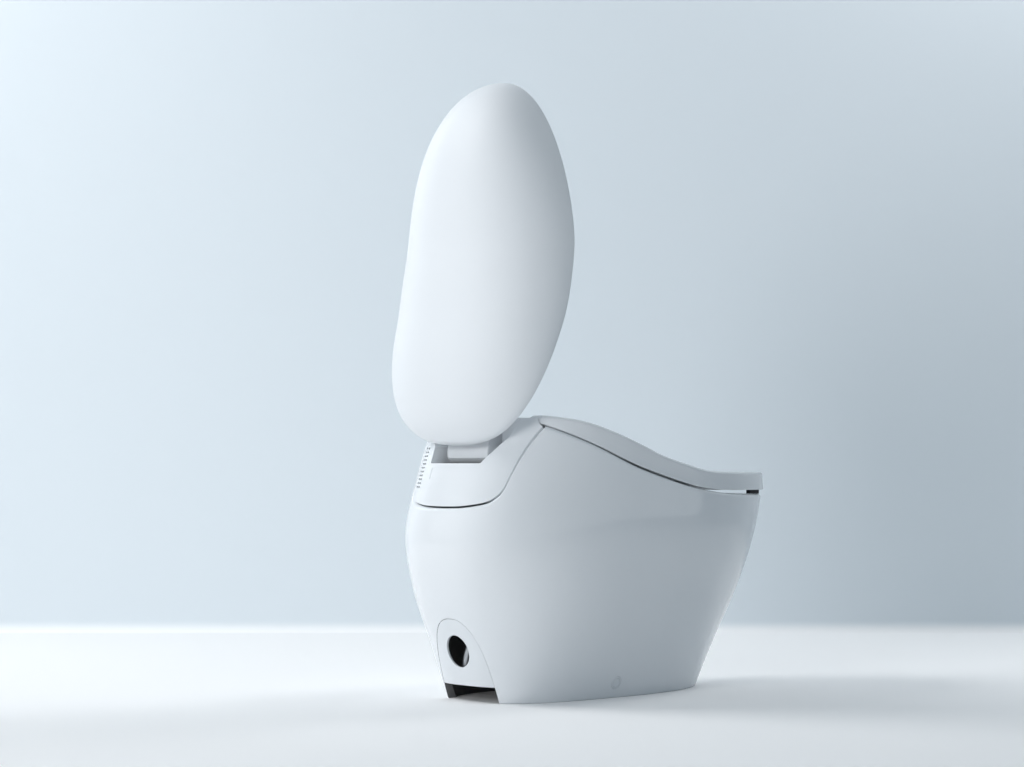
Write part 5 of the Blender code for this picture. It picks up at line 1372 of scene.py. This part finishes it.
@dataclass
class Lid:
    """Domed lid with a rolled rim, its inner skin and its hinge drum. The surfaces are
    worked out closed and then turned open about the hinge."""

    columns: int = 260
    half: float = 0.2105
    front: float = -0.3985
    rear: float = 0.2665
    waist: float = 0.014
    front_power: float = 2.05
    rear_power: float = 2.66
    side_power: float = 2.7
    end_power: float = 3.0
    crown: float = 0.1179
    tilt: float = 0.237
    spread: float = 0.190
    gap: float = 0.0015
    wall: float = 0.0030
    liner_thickness: float = 0.0028
    liner_gap: float = 0.0006
    liner_lift: float = 0.003
    panel_depth: float = 0.0025
    axis: tuple[float, float] = (0.2811, 0.4456)
    drum_radius: float = 0.0490
    drum_half: float = 0.0560
    drum_edge: float = 0.0035
    drum_flat: float = -9.0
    bore: float = 0.0070
    neck_half: float = 0.0520
    neck: tuple[float, float] = (0.2270, 0.2560)
    neck_sink: float = 0.0005
    neck_foot: float = 0.93
    neck_edge: float = 0.0012

    def base(self, y: Grid) -> Grid:
        """Height of the closed lid's lower edge."""
        return FORM.seat_top(y) + self.gap

    def half_at(self, y: Grid, inset: float) -> Grid:
        """Half width over y: half (1 - share^n)^(1/n), with share from the waist.

        Args:
            y: Places along.
            inset: Distance moved in.

        Returns:
            The half widths.
        """
        behind = y > self.waist
        reach = np.where(behind, self.rear - inset - self.waist, self.waist - self.front - inset)
        share = np.abs(y - self.waist) / reach
        n = np.where(behind, self.rear_power, self.front_power)
        return (self.half - inset) * np.maximum(1 - share**n, 0.0) ** (1 / n)

    def rise(self, x: Grid, y: Grid, inset: float) -> Grid:
        """Dome over the rim: crown (1 - tilt u - spread u^2) times the square root of
        (1 - |u|^3)(1 - (|x|/half)^2.7), with u from -1 at the front to 1 at the rear.

        Args:
            x: Places across.
            y: Places along.
            inset: Distance moved in.

        Returns:
            The heights over the rim.
        """
        u = (y - (self.front + self.rear) / 2) / ((self.rear - self.front) / 2 - inset)
        half = np.maximum(self.half_at(y, inset), 1e-6)
        top = self.crown * (1 - self.tilt * u - self.spread * u * u) - inset
        lengthwise = np.maximum(1 - np.abs(u) ** self.end_power, 0.0)
        crosswise = np.maximum(1 - (np.abs(x) / half) ** self.side_power, 0.0)
        return top * np.sqrt(lengthwise * crosswise)

    def edge(self, inset: float, share: float) -> tuple[Grid, Grid]:
        """Outline moved in by an inset, then drawn together to a share.

        Args:
            inset: Distance moved in.
            share: Share of the way out from the waist.

        Returns:
            The x and y of the points.
        """
        x, y = egg(
            around(self.columns), self.half - inset, self.front + inset, self.rear - inset,
            self.waist, self.front_power, self.rear_power,
        )
        return share * x, self.waist + share * (y - self.waist)

    def opened(self, grid: Grid) -> Grid:
        """Turns points a quarter turn back about the hinge."""
        y, z = self.axis
        return pack(grid[..., 0], y + (grid[..., 2] - z), z - (grid[..., 1] - y))

    def dome(self, inset: float, shares: Grid, least: float) -> list[Grid]:
        """Rings of the dome at shares of its outline, at least a given height over the rim.

        Args:
            inset: Distance moved in.
            shares: Shares of the outline, one for each ring.
            least: Least height over the rim.

        Returns:
            The rings.
        """
        rings = []
        for share in shares:
            x, y = self.edge(inset, share)
            rings.append(pack(x, y, self.base(y) + np.maximum(self.rise(x, y, inset), least)))
        return rings

    def shell(self) -> Piece:
        """Outer shell: dome from its middle outwards, a half circle under the rim and the
        inner side back to the middle."""
        lip = self.wall / 2
        least = self.liner_lift + 2 * self.liner_thickness
        shares = np.sin(np.linspace(0, np.pi / 2, 52))
        points = self.dome(0.0, shares, lip)
        for t in np.linspace(0, np.pi, 9)[1:]:
            x, y = self.edge(lip * (1 - np.cos(t)), 1.0)
            points.append(pack(x, y, self.base(y) + lip * (1 - np.sin(t))))
        points += self.dome(self.wall, shares[::-1], least)
        return smooth(grid_piece("lid_dome", self.opened(np.stack(points)), caps=False), 50.0)

    def liner_height(self, y: Grid, share: float) -> Grid:
        """Height of the inner skin: flat along its edge and stepped up inside."""
        panel = 1 - float(smoothstep(0.70, 0.80, share))
        return self.base(y) + self.liner_lift + self.panel_depth * panel

    def liner(self) -> Piece:
        """Inner skin with a shallow sunken panel and a rounded edge."""
        inset, half = self.wall + self.liner_gap, self.liner_thickness / 2
        low, edge, high = [], [], []
        spans = (0, 0.68, 14), (0.70, 0.80, 12), (0.84, 0.985, 5)
        for share in np.concatenate([np.linspace(*span) for span in spans]):
            x, y = self.edge(inset, share)
            z = self.liner_height(y, share)
            low.append(pack(x, y, z))
            high.append(pack(x, y, z + self.liner_thickness))
        for t in np.linspace(-np.pi / 2, np.pi / 2, 9):
            x, y = self.edge(inset + half * (1 - np.cos(t)), 1.0)
            edge.append(pack(x, y, self.liner_height(y, 1.0) + half * (1 + np.sin(t))))
        points = self.opened(np.stack(low + edge + high[::-1]))
        return smooth(grid_piece("lid_inner_skin", points, caps=False), 50.0)

    def drum(self) -> Piece:
        """Hinge drum with its bore, solid, and with a flat where the neck leaves it."""
        (y, z), half, radius = self.axis, self.drum_half, self.drum_radius
        profile = [
            (self.bore, -half),
            *((radius - a, -half + b) for a, b in quarter(self.drum_edge, 9)),
            *((radius - a, half - b) for a, b in quarter(self.drum_edge, 9, True)),
            (self.bore, half),
        ]
        drum = turned("hinge_drum", profile, (0.0, y, z), (1, 0, 0), 96)
        start = math.radians(self.drum_flat)
        first = [y + radius * math.cos(start), z + radius * math.sin(start)]
        chord = [first, [y + 0.1, z - 0.1], [y, z - radius]]
        return smooth(cut(drum, prism("drum_flat", chord, 0, -0.06, 0.06)))

    def hinge_neck(self) -> Piece:
        """Neck that carries the lid on its drum."""
        y, z = self.axis
        at = np.linspace(self.neck[0], self.neck[1], 14)
        line = pack(at, self.liner_height(at, 1.0) - self.neck_sink)
        middle = self.drum_radius - self.wall
        foot = y - middle * self.neck_foot
        ends = self.neck[1], foot
        low = [(place, z + math.sqrt(middle**2 - (y - place) ** 2)) for place in ends]
        outline = np.concatenate([line, low, [[self.neck[0], low[-1][1]]]])
        neck = prism("hinge_neck", outline, 0, -self.neck_half, self.neck_half)
        soften(neck, self.neck_edge)
        points = np.array([v.co for v in neck.data.vertices])
        neck.data.vertices.foreach_set("co", self.opened(points).ravel())
        neck.data.update()
        return smooth(neck)

    def build(self, dresser: Dresser) -> list[Piece]:
        """Makes and dresses the lid in place of its solids.

        Args:
            dresser: Gives the finishes.

        Returns:
            The lid's pieces.
        """
        pieces = (
            (self.shell(), "lid_shell"), (self.liner(), "lid_liner"),
            (self.drum(), "lid_drum"), (self.hinge_neck(), "lid_drum"),
        )
        return [dresser.fit(piece, Finish.LID, "lid", node, Slot.WHITE) for piece, node in pieces]


# Rear cover


@dataclass
class RearCover:
    """Thin moulded cover over the washing unit, with the notch for the lid's drum, vent
    slots and a faint sunken field."""

    wall: float = 0.0030
    inset: float = 0.0015
    gap: float = 0.0015
    arm_gap: float = 0.0012
    front: float = 0.2060
    drop: float = 0.0055
    notch_half: float = 0.0680
    notch_low: float = 0.4280
    notch_right: Rows = ((0.1090, 0.4750), (0.1200, 0.5150))
    notch_left: Rows = ((0.0695, 0.4580), (0.1040, 0.4840), (0.1200, 0.5150))
    notch_front: float = 0.2240
    notch_wide: float = 0.3045
    room_radius: float = 0.0520
    slot_rows: int = 11
    slot_pitch: float = 0.0070
    slot_height: float = 0.0030
    slot_length: float = 0.0070
    slot_top: float = 0.4550
    slot_x: tuple[float, ...] = (0.0900, 0.1010)
    field_half: float = 0.0575
    field_heights: tuple[float, float] = (0.4000, 0.4200)
    field_depth: float = 0.0007
    bore_reach: float = 0.004
    pin_reach: tuple[float, float] = (-0.018, 0.018)
    wand_half: float = 0.018
    wand_rear: float = 0.210
    wand_top: float = 0.490
    open_front: float = 0.17
    open_rear: float = 0.3465
    slot_front: float = 0.315

    def block(self, name: str, inset: float, seat: Seat) -> Piece:
        """Solid that fills the bay behind the seat up to just under the lid.

        Args:
            name: The piece's name.
            inset: Distance moved in on every side.
            seat: The seat, whose arms need room.

        Returns:
            The solid.
        """
        block = envelope_block(name, inset, FORM.deck - 0.03, FORM.top)
        bay = bay_block("bay", self.gap + inset, self.front + inset, BEHIND)
        combine(block, bay, Cut.KEEP)
        cut(block, above("cover_top", FORM.seat_top, self.drop + inset))
        clearance = self.arm_gap + inset
        radius = seat.end_radius + clearance
        y, z = seat.hinge
        at = np.linspace(0.0, y, 60)
        floor = pack(at, np.minimum(FORM.glaze_top(at) - inset, z - radius))
        end = arc(seat.hinge, radius, -np.pi / 2, 0, 20)
        outline = np.concatenate([[[0.0, OVER]], floor, end, [[y + radius, OVER]]])
        start = seat.arm_inner - clearance
        for low, high in ((start, ACROSS), (-ACROSS, -start)):
            cut(block, prism("arm_room", outline, 0, low, high))
        return block

    def notch(self, wall: float, widened: bool) -> Piece:
        """Opening for the hinge drum, widened towards the top behind the seat's hinge.

        Args:
            wall: Distance moved out.
            widened: Whether it is the wide part.

        Returns:
            The cutter.
        """
        half, low, top = self.notch_half + wall, self.notch_low - wall, FORM.top + 0.03
        if not widened:
            outline = box_outline(-half, half, low, top)
            return prism("notch", outline, 1, self.notch_front - wall, BEHIND)
        right = [(-x - wall, z - wall) for x, z in self.notch_right]
        left = [(x + wall, z - wall) for x, z in self.notch_left]
        over = [(left[-1][0], top), (right[-1][0], top)]
        outline = np.array([(half, low), *left, *over, *right[::-1], (-half, low)])
        return prism("notch", outline, 1, self.notch_wide - wall, BEHIND)

    def field(self) -> Piece:
        """Thin cutter that follows the surface over the sunken field."""
        outline = box_outline(-self.field_half, self.field_half, *self.field_heights)
        plate = prism("field", outline, 1, 0.30, BEHIND)
        return cut(plate, envelope_block("field_floor", self.inset + self.field_depth, 0.37, 0.45))

    def slots(self) -> list[Piece]:
        """Cutters of the vent slots."""
        made = []
        for x in self.slot_x:
            for row in range(self.slot_rows):
                height = self.slot_top - row * self.slot_pitch
                low, high = height - self.slot_height / 2, height + self.slot_height / 2
                outline = box_outline(x, x + self.slot_length, low, high)
                made.append(prism("slot", outline, 1, self.slot_front, BEHIND))
        return made

    def build(self, dresser: Dresser, seat: Seat, lid: Lid) -> list[Piece]:
        """Makes and dresses the cover in place of its solid.

        Args:
            dresser: Gives the finishes.
            seat: The seat, whose arms and pins need room.
            lid: The lid, whose drum and pins need room.

        Returns:
            The cover's piece.
        """
        cover = self.block("unit_cover", self.inset, seat)
        inner = self.block("cover_inner", self.inset + self.wall, seat)
        cut(inner, self.notch(self.wall, False), self.notch(self.wall, True))
        below = box_outline(-ACROSS, ACROSS, self.open_front, self.open_rear)
        floor = prism("open_floor", below, 2, 0.30, 0.360)
        cut(cover, inner, floor, self.notch(0.0, False), self.notch(0.0, True))
        half, axis = self.notch_half, (0.0, *lid.axis)
        cut(cover, rod("drum_way", self.room_radius, -half, half, axis, (1, 0, 0), 96))
        half += self.bore_reach
        cut(cover, rod("drum_way", lid.bore, -half, half, axis, (1, 0, 0), 48))
        cut(cover, *seat.pin_ways(self.pin_reach))
        wand = box_outline(-self.wand_half, self.wand_half, self.open_front, self.wand_rear)
        cut(cover, prism("wand_way", wand, 2, FORM.deck, self.wand_top))
        cut(cover, self.field(), *self.slots())
        return [dresser.fit(smooth(cover), Finish.COVER, "toilet", "rear_cover", Slot.WHITE)]


# Foot


@dataclass
class SideCap:
    """Round cap over a fixing hole in the foot, with a ring-shaped groove."""

    y: float = 0.089
    height: float = 0.028
    radius: float = 0.012
    thickness: float = 0.0025
    proud: float = 0.0008
    gap: float = 0.0004
    hole: float = 0.0085
    groove: float = 0.0088
    groove_half: float = 0.0007
    groove_depth: float = 0.0012

    def frame(self, side: int) -> tuple[Grid, Grid]:
        """Point on the envelope and its outward direction, from small steps round it and
        up it.

        Args:
            side: 1 for the left side, -1 for the right.

        Returns:
            The point and the unit direction.
        """
        angle = np.linspace(0.0, 1.2, 4000)
        step = 1e-4
        level = np.full_like(angle, self.height)
        _, y = FORM.envelope(angle, level)
        at = float(np.interp(self.y, y, angle))
        near = np.array([at, at + step, at])
        z = np.array([self.height, self.height, self.height + step])
        px, py = FORM.envelope(near, z)
        points = np.stack([px, py, z], axis=-1)
        out = np.cross(points[1] - points[0], points[2] - points[0])
        out /= np.linalg.norm(out)
        mirror = np.array([side, 1.0, 1.0])
        return points[0] * mirror, out * mirror

    def cutters(self, side: int) -> list[Piece]:
        """The cap's seat and the screw's way, to be cut from the ceramic.

        Args:
            side: 1 for the left side, -1 for the right.

        Returns:
            The two cutters.
        """
        point, out = self.frame(side)
        gap = self.gap
        seat = self.radius + gap, self.proud - self.thickness - gap, 0.02
        return [
            rod("side_way", *sizes, point, out, 60) for sizes in (seat, (self.hole, -0.03, 0.01))
        ]

    def build(self, dresser: Dresser) -> list[Piece]:
        """Makes and dresses both caps in place of their solids.

        Args:
            dresser: Gives the finishes.

        Returns:
            The two caps.
        """
        low, top = self.proud - self.thickness, self.proud / 2
        half, deep = self.groove_half, top - self.groove_depth
        outer, inner = self.groove + half, self.groove - half
        edge = self.proud / 2
        rim = [(self.radius, low), (self.radius, top - edge), (self.radius - edge, top)]
        middle = [(self.groove + half / 2, deep), (self.groove - half / 2, deep)]
        dip = [(outer, top), *middle, (inner, top)]
        profile = [(0.0, low), *rim, *dip, (0.0, top)]
        caps = []
        for side, word in ((1, "left"), (-1, "right")):
            cap = smooth(turned("foot_cap_" + word, profile, *self.frame(side), 64))
            dresser.fit(cap, Finish.COVER, "toilet", "side_cap_" + word, Slot.WHITE)
            caps.append(cap)
        return caps


@dataclass
class RearPanel:
    """Arched panel over the foot's opening, curved with the foot, and what its hole
    shows: the inlet elbow and hose."""

    thickness: float = 0.004
    inset: float = 0.0003
    gap: float = 0.0008
    low: float = 0.029
    hole_radius: float = 0.029
    hole_height: float = 0.091
    elbow_radius: float = 0.0080
    hose_radius: float = 0.0055
    elbow_route: Rows = (
        (-0.0280, 0.3100, 0.1180), (-0.0100, 0.3180, 0.1080), (0.0040, 0.3210, 0.0900),
        (0.0100, 0.3220, 0.0640), (0.0100, 0.3220, 0.0420),
    )
    hose_route: Rows = (
        (-0.0292, 0.3095, 0.1187), (-0.0380, 0.3060, 0.1236), (-0.0520, 0.3070, 0.1400),
        (-0.0700, 0.3260, 0.1900), (-0.0750, 0.3340, 0.2600), (-0.0750, 0.3340, 0.3300),
        (-0.0750, 0.3340, 0.3560), (-0.0790, 0.3240, 0.3740), (-0.0850, 0.2900, 0.3760),
        (-0.0860, 0.2543, 0.3760),
    )

    def panel(self, bowl: CeramicBowl) -> Piece:
        """The panel: a slice of the outer form, kept inside the arch.

        Args:
            bowl: The ceramic, which gives the arch.

        Returns:
            The panel.
        """
        panel = envelope_block("foot_panel", self.inset, self.low, 0.18)
        cut(panel, envelope_block("panel_inner", self.thickness, self.low - 0.03, 0.21))
        combine(panel, bowl.arch("panel_arch", self.gap), Cut.KEEP)
        centre = (0.0, 0.0, self.hole_height)
        cut(panel, rod("panel_hole", self.hole_radius, 0.28, BEHIND, centre, (0, 1, 0), 80))
        return smooth(panel)

    def build(self, dresser: Dresser, bowl: CeramicBowl) -> list[Piece]:
        """Makes and dresses the panel, elbow and hose in place of their solids.

        Args:
            dresser: Gives the finishes.
            bowl: The ceramic, which gives the arch.

        Returns:
            The three pieces.
        """
        elbow, hose = pack(*through(self.elbow_route, 60)), pack(*through(self.hose_route, 120))
        rows = (
            (self.panel(bowl), Finish.COVER, "toilet", "access_panel", Slot.WHITE),
            (smooth(pipe("supply_elbow", elbow, self.elbow_radius, 28)),
             Finish.STEEL, "toilet", "inlet_elbow", Slot.STEEL),
            (smooth(pipe("supply_hose", hose, self.hose_radius, 20)),
             Finish.BRAID, "toilet", "inlet_hose", Slot.GREY),
        )
        return [dresser.fit(*row) for row in rows]


# Solids that stay as they are


@dataclass
class CarriedParts:
    """Solids of the frame that keep their shape and get a finish by their names."""

    finishes: tuple[tuple[str, Finish], ...] = (
        ("bumper", Finish.RUBBER), ("seal", Finish.RUBBER), ("gland", Finish.RUBBER),
        ("screw", Finish.STEEL), ("pin", Finish.STEEL), ("bracket", Finish.GREY),
        ("carrier", Finish.GREY), ("drive", Finish.DARK), ("pump", Finish.DARK),
        ("filter", Finish.DARK), ("heater", Finish.DARK), ("control", Finish.BOARD),
        ("socket", Finish.GREY), ("tray", Finish.GREY), ("casing", Finish.GREY),
        ("impeller", Finish.GREY), ("cradle", Finish.GREY), ("wand", Finish.UNIT),
        ("flap", Finish.UNIT), ("housing", Finish.UNIT), ("valve", Finish.UNIT),
        ("base", Finish.SEAT),
    )

    def finish_of(self, name: str) -> Finish:
        """Finish for a node: the first row whose word is in its name.

        Args:
            name: The node's name.

        Returns:
            The finish.
        """
        for word, finish in self.finishes:
            if word in name:
                return finish
        return Finish.UNIT

    def dress(self, nodes: dict[str, Piece], dresser: Dresser) -> int:
        """Gives every solid its finish.

        Args:
            nodes: The frame's solids by name.
            dresser: Gives the finishes.

        Returns:
            The number of solids.
        """
        for name, node in sorted(nodes.items()):
            dresser.dress(node, self.finish_of(name))
        return len(nodes)


# Studio


@dataclass
class Studio:
    """Plain pale floor, a wall that is seen from its front only, soft lamps and the camera."""

    floor_tone: Colour = (0.92, 0.92, 0.92)
    wall_tone: Colour = (0.72, 0.775, 0.815)
    eye: tuple[float, float, float] = (-3.193, 3.101, 0.4286)
    aim: tuple[float, float] = (0.7425, -0.6699)
    pitch: float = 1.945
    lens: float = 82.3
    sensor: float = 36.0
    lamps: tuple[tuple[str, tuple[float, ...], float, float], ...] = (
        ("lamp_key", (2.35, 1.95, 3.05), 2.0, 80.0),
        ("lamp_side", (-1.3, 5.2, 1.7), 2.1, 94.0),
        ("lamp_rim", (-3.4, -1.6, 2.2), 2.4, 4.0),
        ("lamp_fill", (-0.3, -1.8, 2.6), 1.0, 21.0),
    )
    target: tuple[float, float, float] = (0.0, 0.0, 0.45)
    sky_strength: float = 0.44
    sky: tuple[Colour, Colour] = ((0.09, 0.19, 0.27), (0.68, 0.81, 0.91))
    sky_lean: float = -0.4
    sky_spread: float = 0.6
    pale_sky: Colour = (0.70, 0.765, 0.81)
    floor_lift: float = 0.03
    # Painted light on the wall: strength of its glow, and the x places between which the glow rises
    wall_painted_light: float = 0.13
    wall_painted_light_fade: tuple[float, float] = (0.2, 2.0)
    reach: float = 9.0
    back: float = 1.50
    wall_radius: float = 0.03
    wall_height: float = 4.5

    def sheet(self, name: str, run: Grid, rise: Grid) -> Piece:
        """Sheet that is straight across the view and follows a line along it.

        Args:
            name: Piece name.
            run: Places along the view, from the origin.
            rise: Heights at those places.

        Returns:
            The sheet.
        """
        across = np.linspace(-self.reach, self.reach, 3)
        ahead = np.array([*self.aim, 0.0])
        side = np.array([self.aim[1], -self.aim[0], 0.0])
        grid = (
            run[:, None, None] * ahead + across[None, :, None] * side
            + rise[:, None, None] * np.array([0.0, 0.0, 1.0])
        )
        return smooth(grid_piece(name, grid, close_columns=False, caps=False))

    def floor(self) -> Piece:
        """Floor, on all sides of the object."""
        return self.sheet("floor", np.array([-self.reach, self.reach]), np.zeros(2))

    def wall(self) -> Piece:
        """Wall behind the object, rising from the floor on a small curve, its front to the
        camera."""
        t, radius = np.linspace(0, np.pi / 2, 24), self.wall_radius
        run = np.append(self.back - radius + radius * np.sin(t), self.back)
        rise = np.append(radius * (1 - np.cos(t)), self.wall_height)
        wall = self.sheet("wall", run, rise)
        wall.data.flip_normals()
        return wall

    def floor_paper(self) -> bpy.types.Material:
        """Matt near-white paper, lifted a little for rays that see it."""
        s = Shader("floor_paper")
        s.set(
            Base_Color=(*self.floor_tone, 1.0), Roughness=0.9,
            Emission_Color=s.seen().mix((0.0, 0.0, 0.0), self.floor_tone),
            Emission_Strength=self.floor_lift,
        )
        return s.owner

    def wall_paper(self) -> bpy.types.Material:
        """Matt pale blue-grey paper that meets the floor in the floor's colour, with painted
        light: a glow for rays that see it that grows towards the brighter side, and clear from
        behind."""
        s = Shader("wall_paper")
        # Painted light: the wall glows more towards one side, as if more lamp light fell there
        painted_wall_light = s.seen() * s.height(0).ramp(*self.wall_painted_light_fade)
        s.set(
            Base_Color=s.height(2).ramp(0.0, 0.03).mix(self.floor_tone, self.wall_tone),
            Roughness=0.9, Emission_Color=painted_wall_light.mix((0.0, 0.0, 0.0), self.wall_tone),
            Emission_Strength=self.wall_painted_light,
            Alpha=1.0 - s.node("ShaderNodeNewGeometry", output=6),
        )
        return s.owner

    def light(self) -> None:
        """Adds the lamps, each a large disc aimed at the object and left out of reflections."""
        for name, place, size, power in self.lamps:
            data = bpy.data.lights.new(name, "AREA")
            data.shape = "DISK"
            data.size = size
            data.energy = power
            lamp = bpy.data.objects.new(name, data)
            lamp.location = place
            lamp.visible_glossy = lamp.visible_camera = False
            turn = (Vector(self.target) - Vector(place)).to_track_quat("-Z", "Y")
            lamp.rotation_euler = turn.to_euler()
            bpy.context.collection.objects.link(lamp)

    def room(self) -> None:
        """Adds the world: a sky that is brighter on one side of the view gives light, and an
        even pale one is seen, straight or in reflections."""
        s = Shader("pale_room", "worlds", "Background")
        bright = (-self.aim[1], self.aim[0], self.sky_lean)
        place = s.node("ShaderNodeTexCoord")
        side = s.node(
            "ShaderNodeVectorMath", {"operation": "DOT_PRODUCT"}, {0: place, 1: bright}, output=1
        )
        tones = (side * self.sky_spread + 0.5).mix(*self.sky)
        s.set(Color=tones, Strength=self.sky_strength)
        pale = s.node("ShaderNodeBackground", None, {"Color": (*self.pale_sky, 1.0)})
        shown = Socket(s, s.main.outputs[0])
        choice = s.node("ShaderNodeMixShader", None, {0: s.seen(), 1: shown, 2: pale})
        s.tree.links.new(choice.link, s.tree.nodes["World Output"].inputs["Surface"])
        bpy.context.scene.world = s.owner

    def camera(self) -> None:
        """Adds the camera at the photograph's place."""
        data = bpy.data.cameras.new("view")
        data.lens = self.lens
        data.sensor_width = self.sensor
        camera = bpy.data.objects.new("view", data)
        camera.location = self.eye
        tilt = math.tan(math.radians(self.pitch))
        aim = Vector((*self.aim, tilt))
        camera.rotation_euler = aim.to_track_quat("-Z", "Y").to_euler()
        bpy.context.collection.objects.link(camera)
        bpy.context.scene.camera = camera

    def build(self) -> None:
        """Sets up the whole studio."""
        floor, wall = self.floor(), self.wall()
        floor.data.materials.append(self.floor_paper())
        wall.data.materials.append(self.wall_paper())
        self.light()
        self.room()
        self.camera()
        bpy.context.scene.view_settings.view_transform = "Standard"


def note(pieces: list[Piece]) -> None:
    """Reports each piece by its name and number of faces."""
    for piece in pieces:
        LOG.info("%s: %d faces", piece.name, len(piece.data.polygons))


def main() -> None:
    """Builds and dresses each sub-assembly in order, then the studio."""
    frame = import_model()
    dresser = Dresser()
    count = CarriedParts().dress(frame["nodes"], dresser)
    LOG.info("%d solids dressed", count)
    bowl, seat, lid, cap = CeramicBowl(), Seat(), Lid(), SideCap()
    note(bowl.build(dresser, cap))
    note(cap.build(dresser))
    note(RearPanel().build(dresser, bowl))
    note(seat.build(dresser))
    note(lid.build(dresser))
    note(RearCover().build(dresser, seat, lid))
    Studio().build()
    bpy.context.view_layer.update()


if __name__ == "__main__":
    logging.basicConfig(level=logging.INFO, format="%(message)s")
    main()
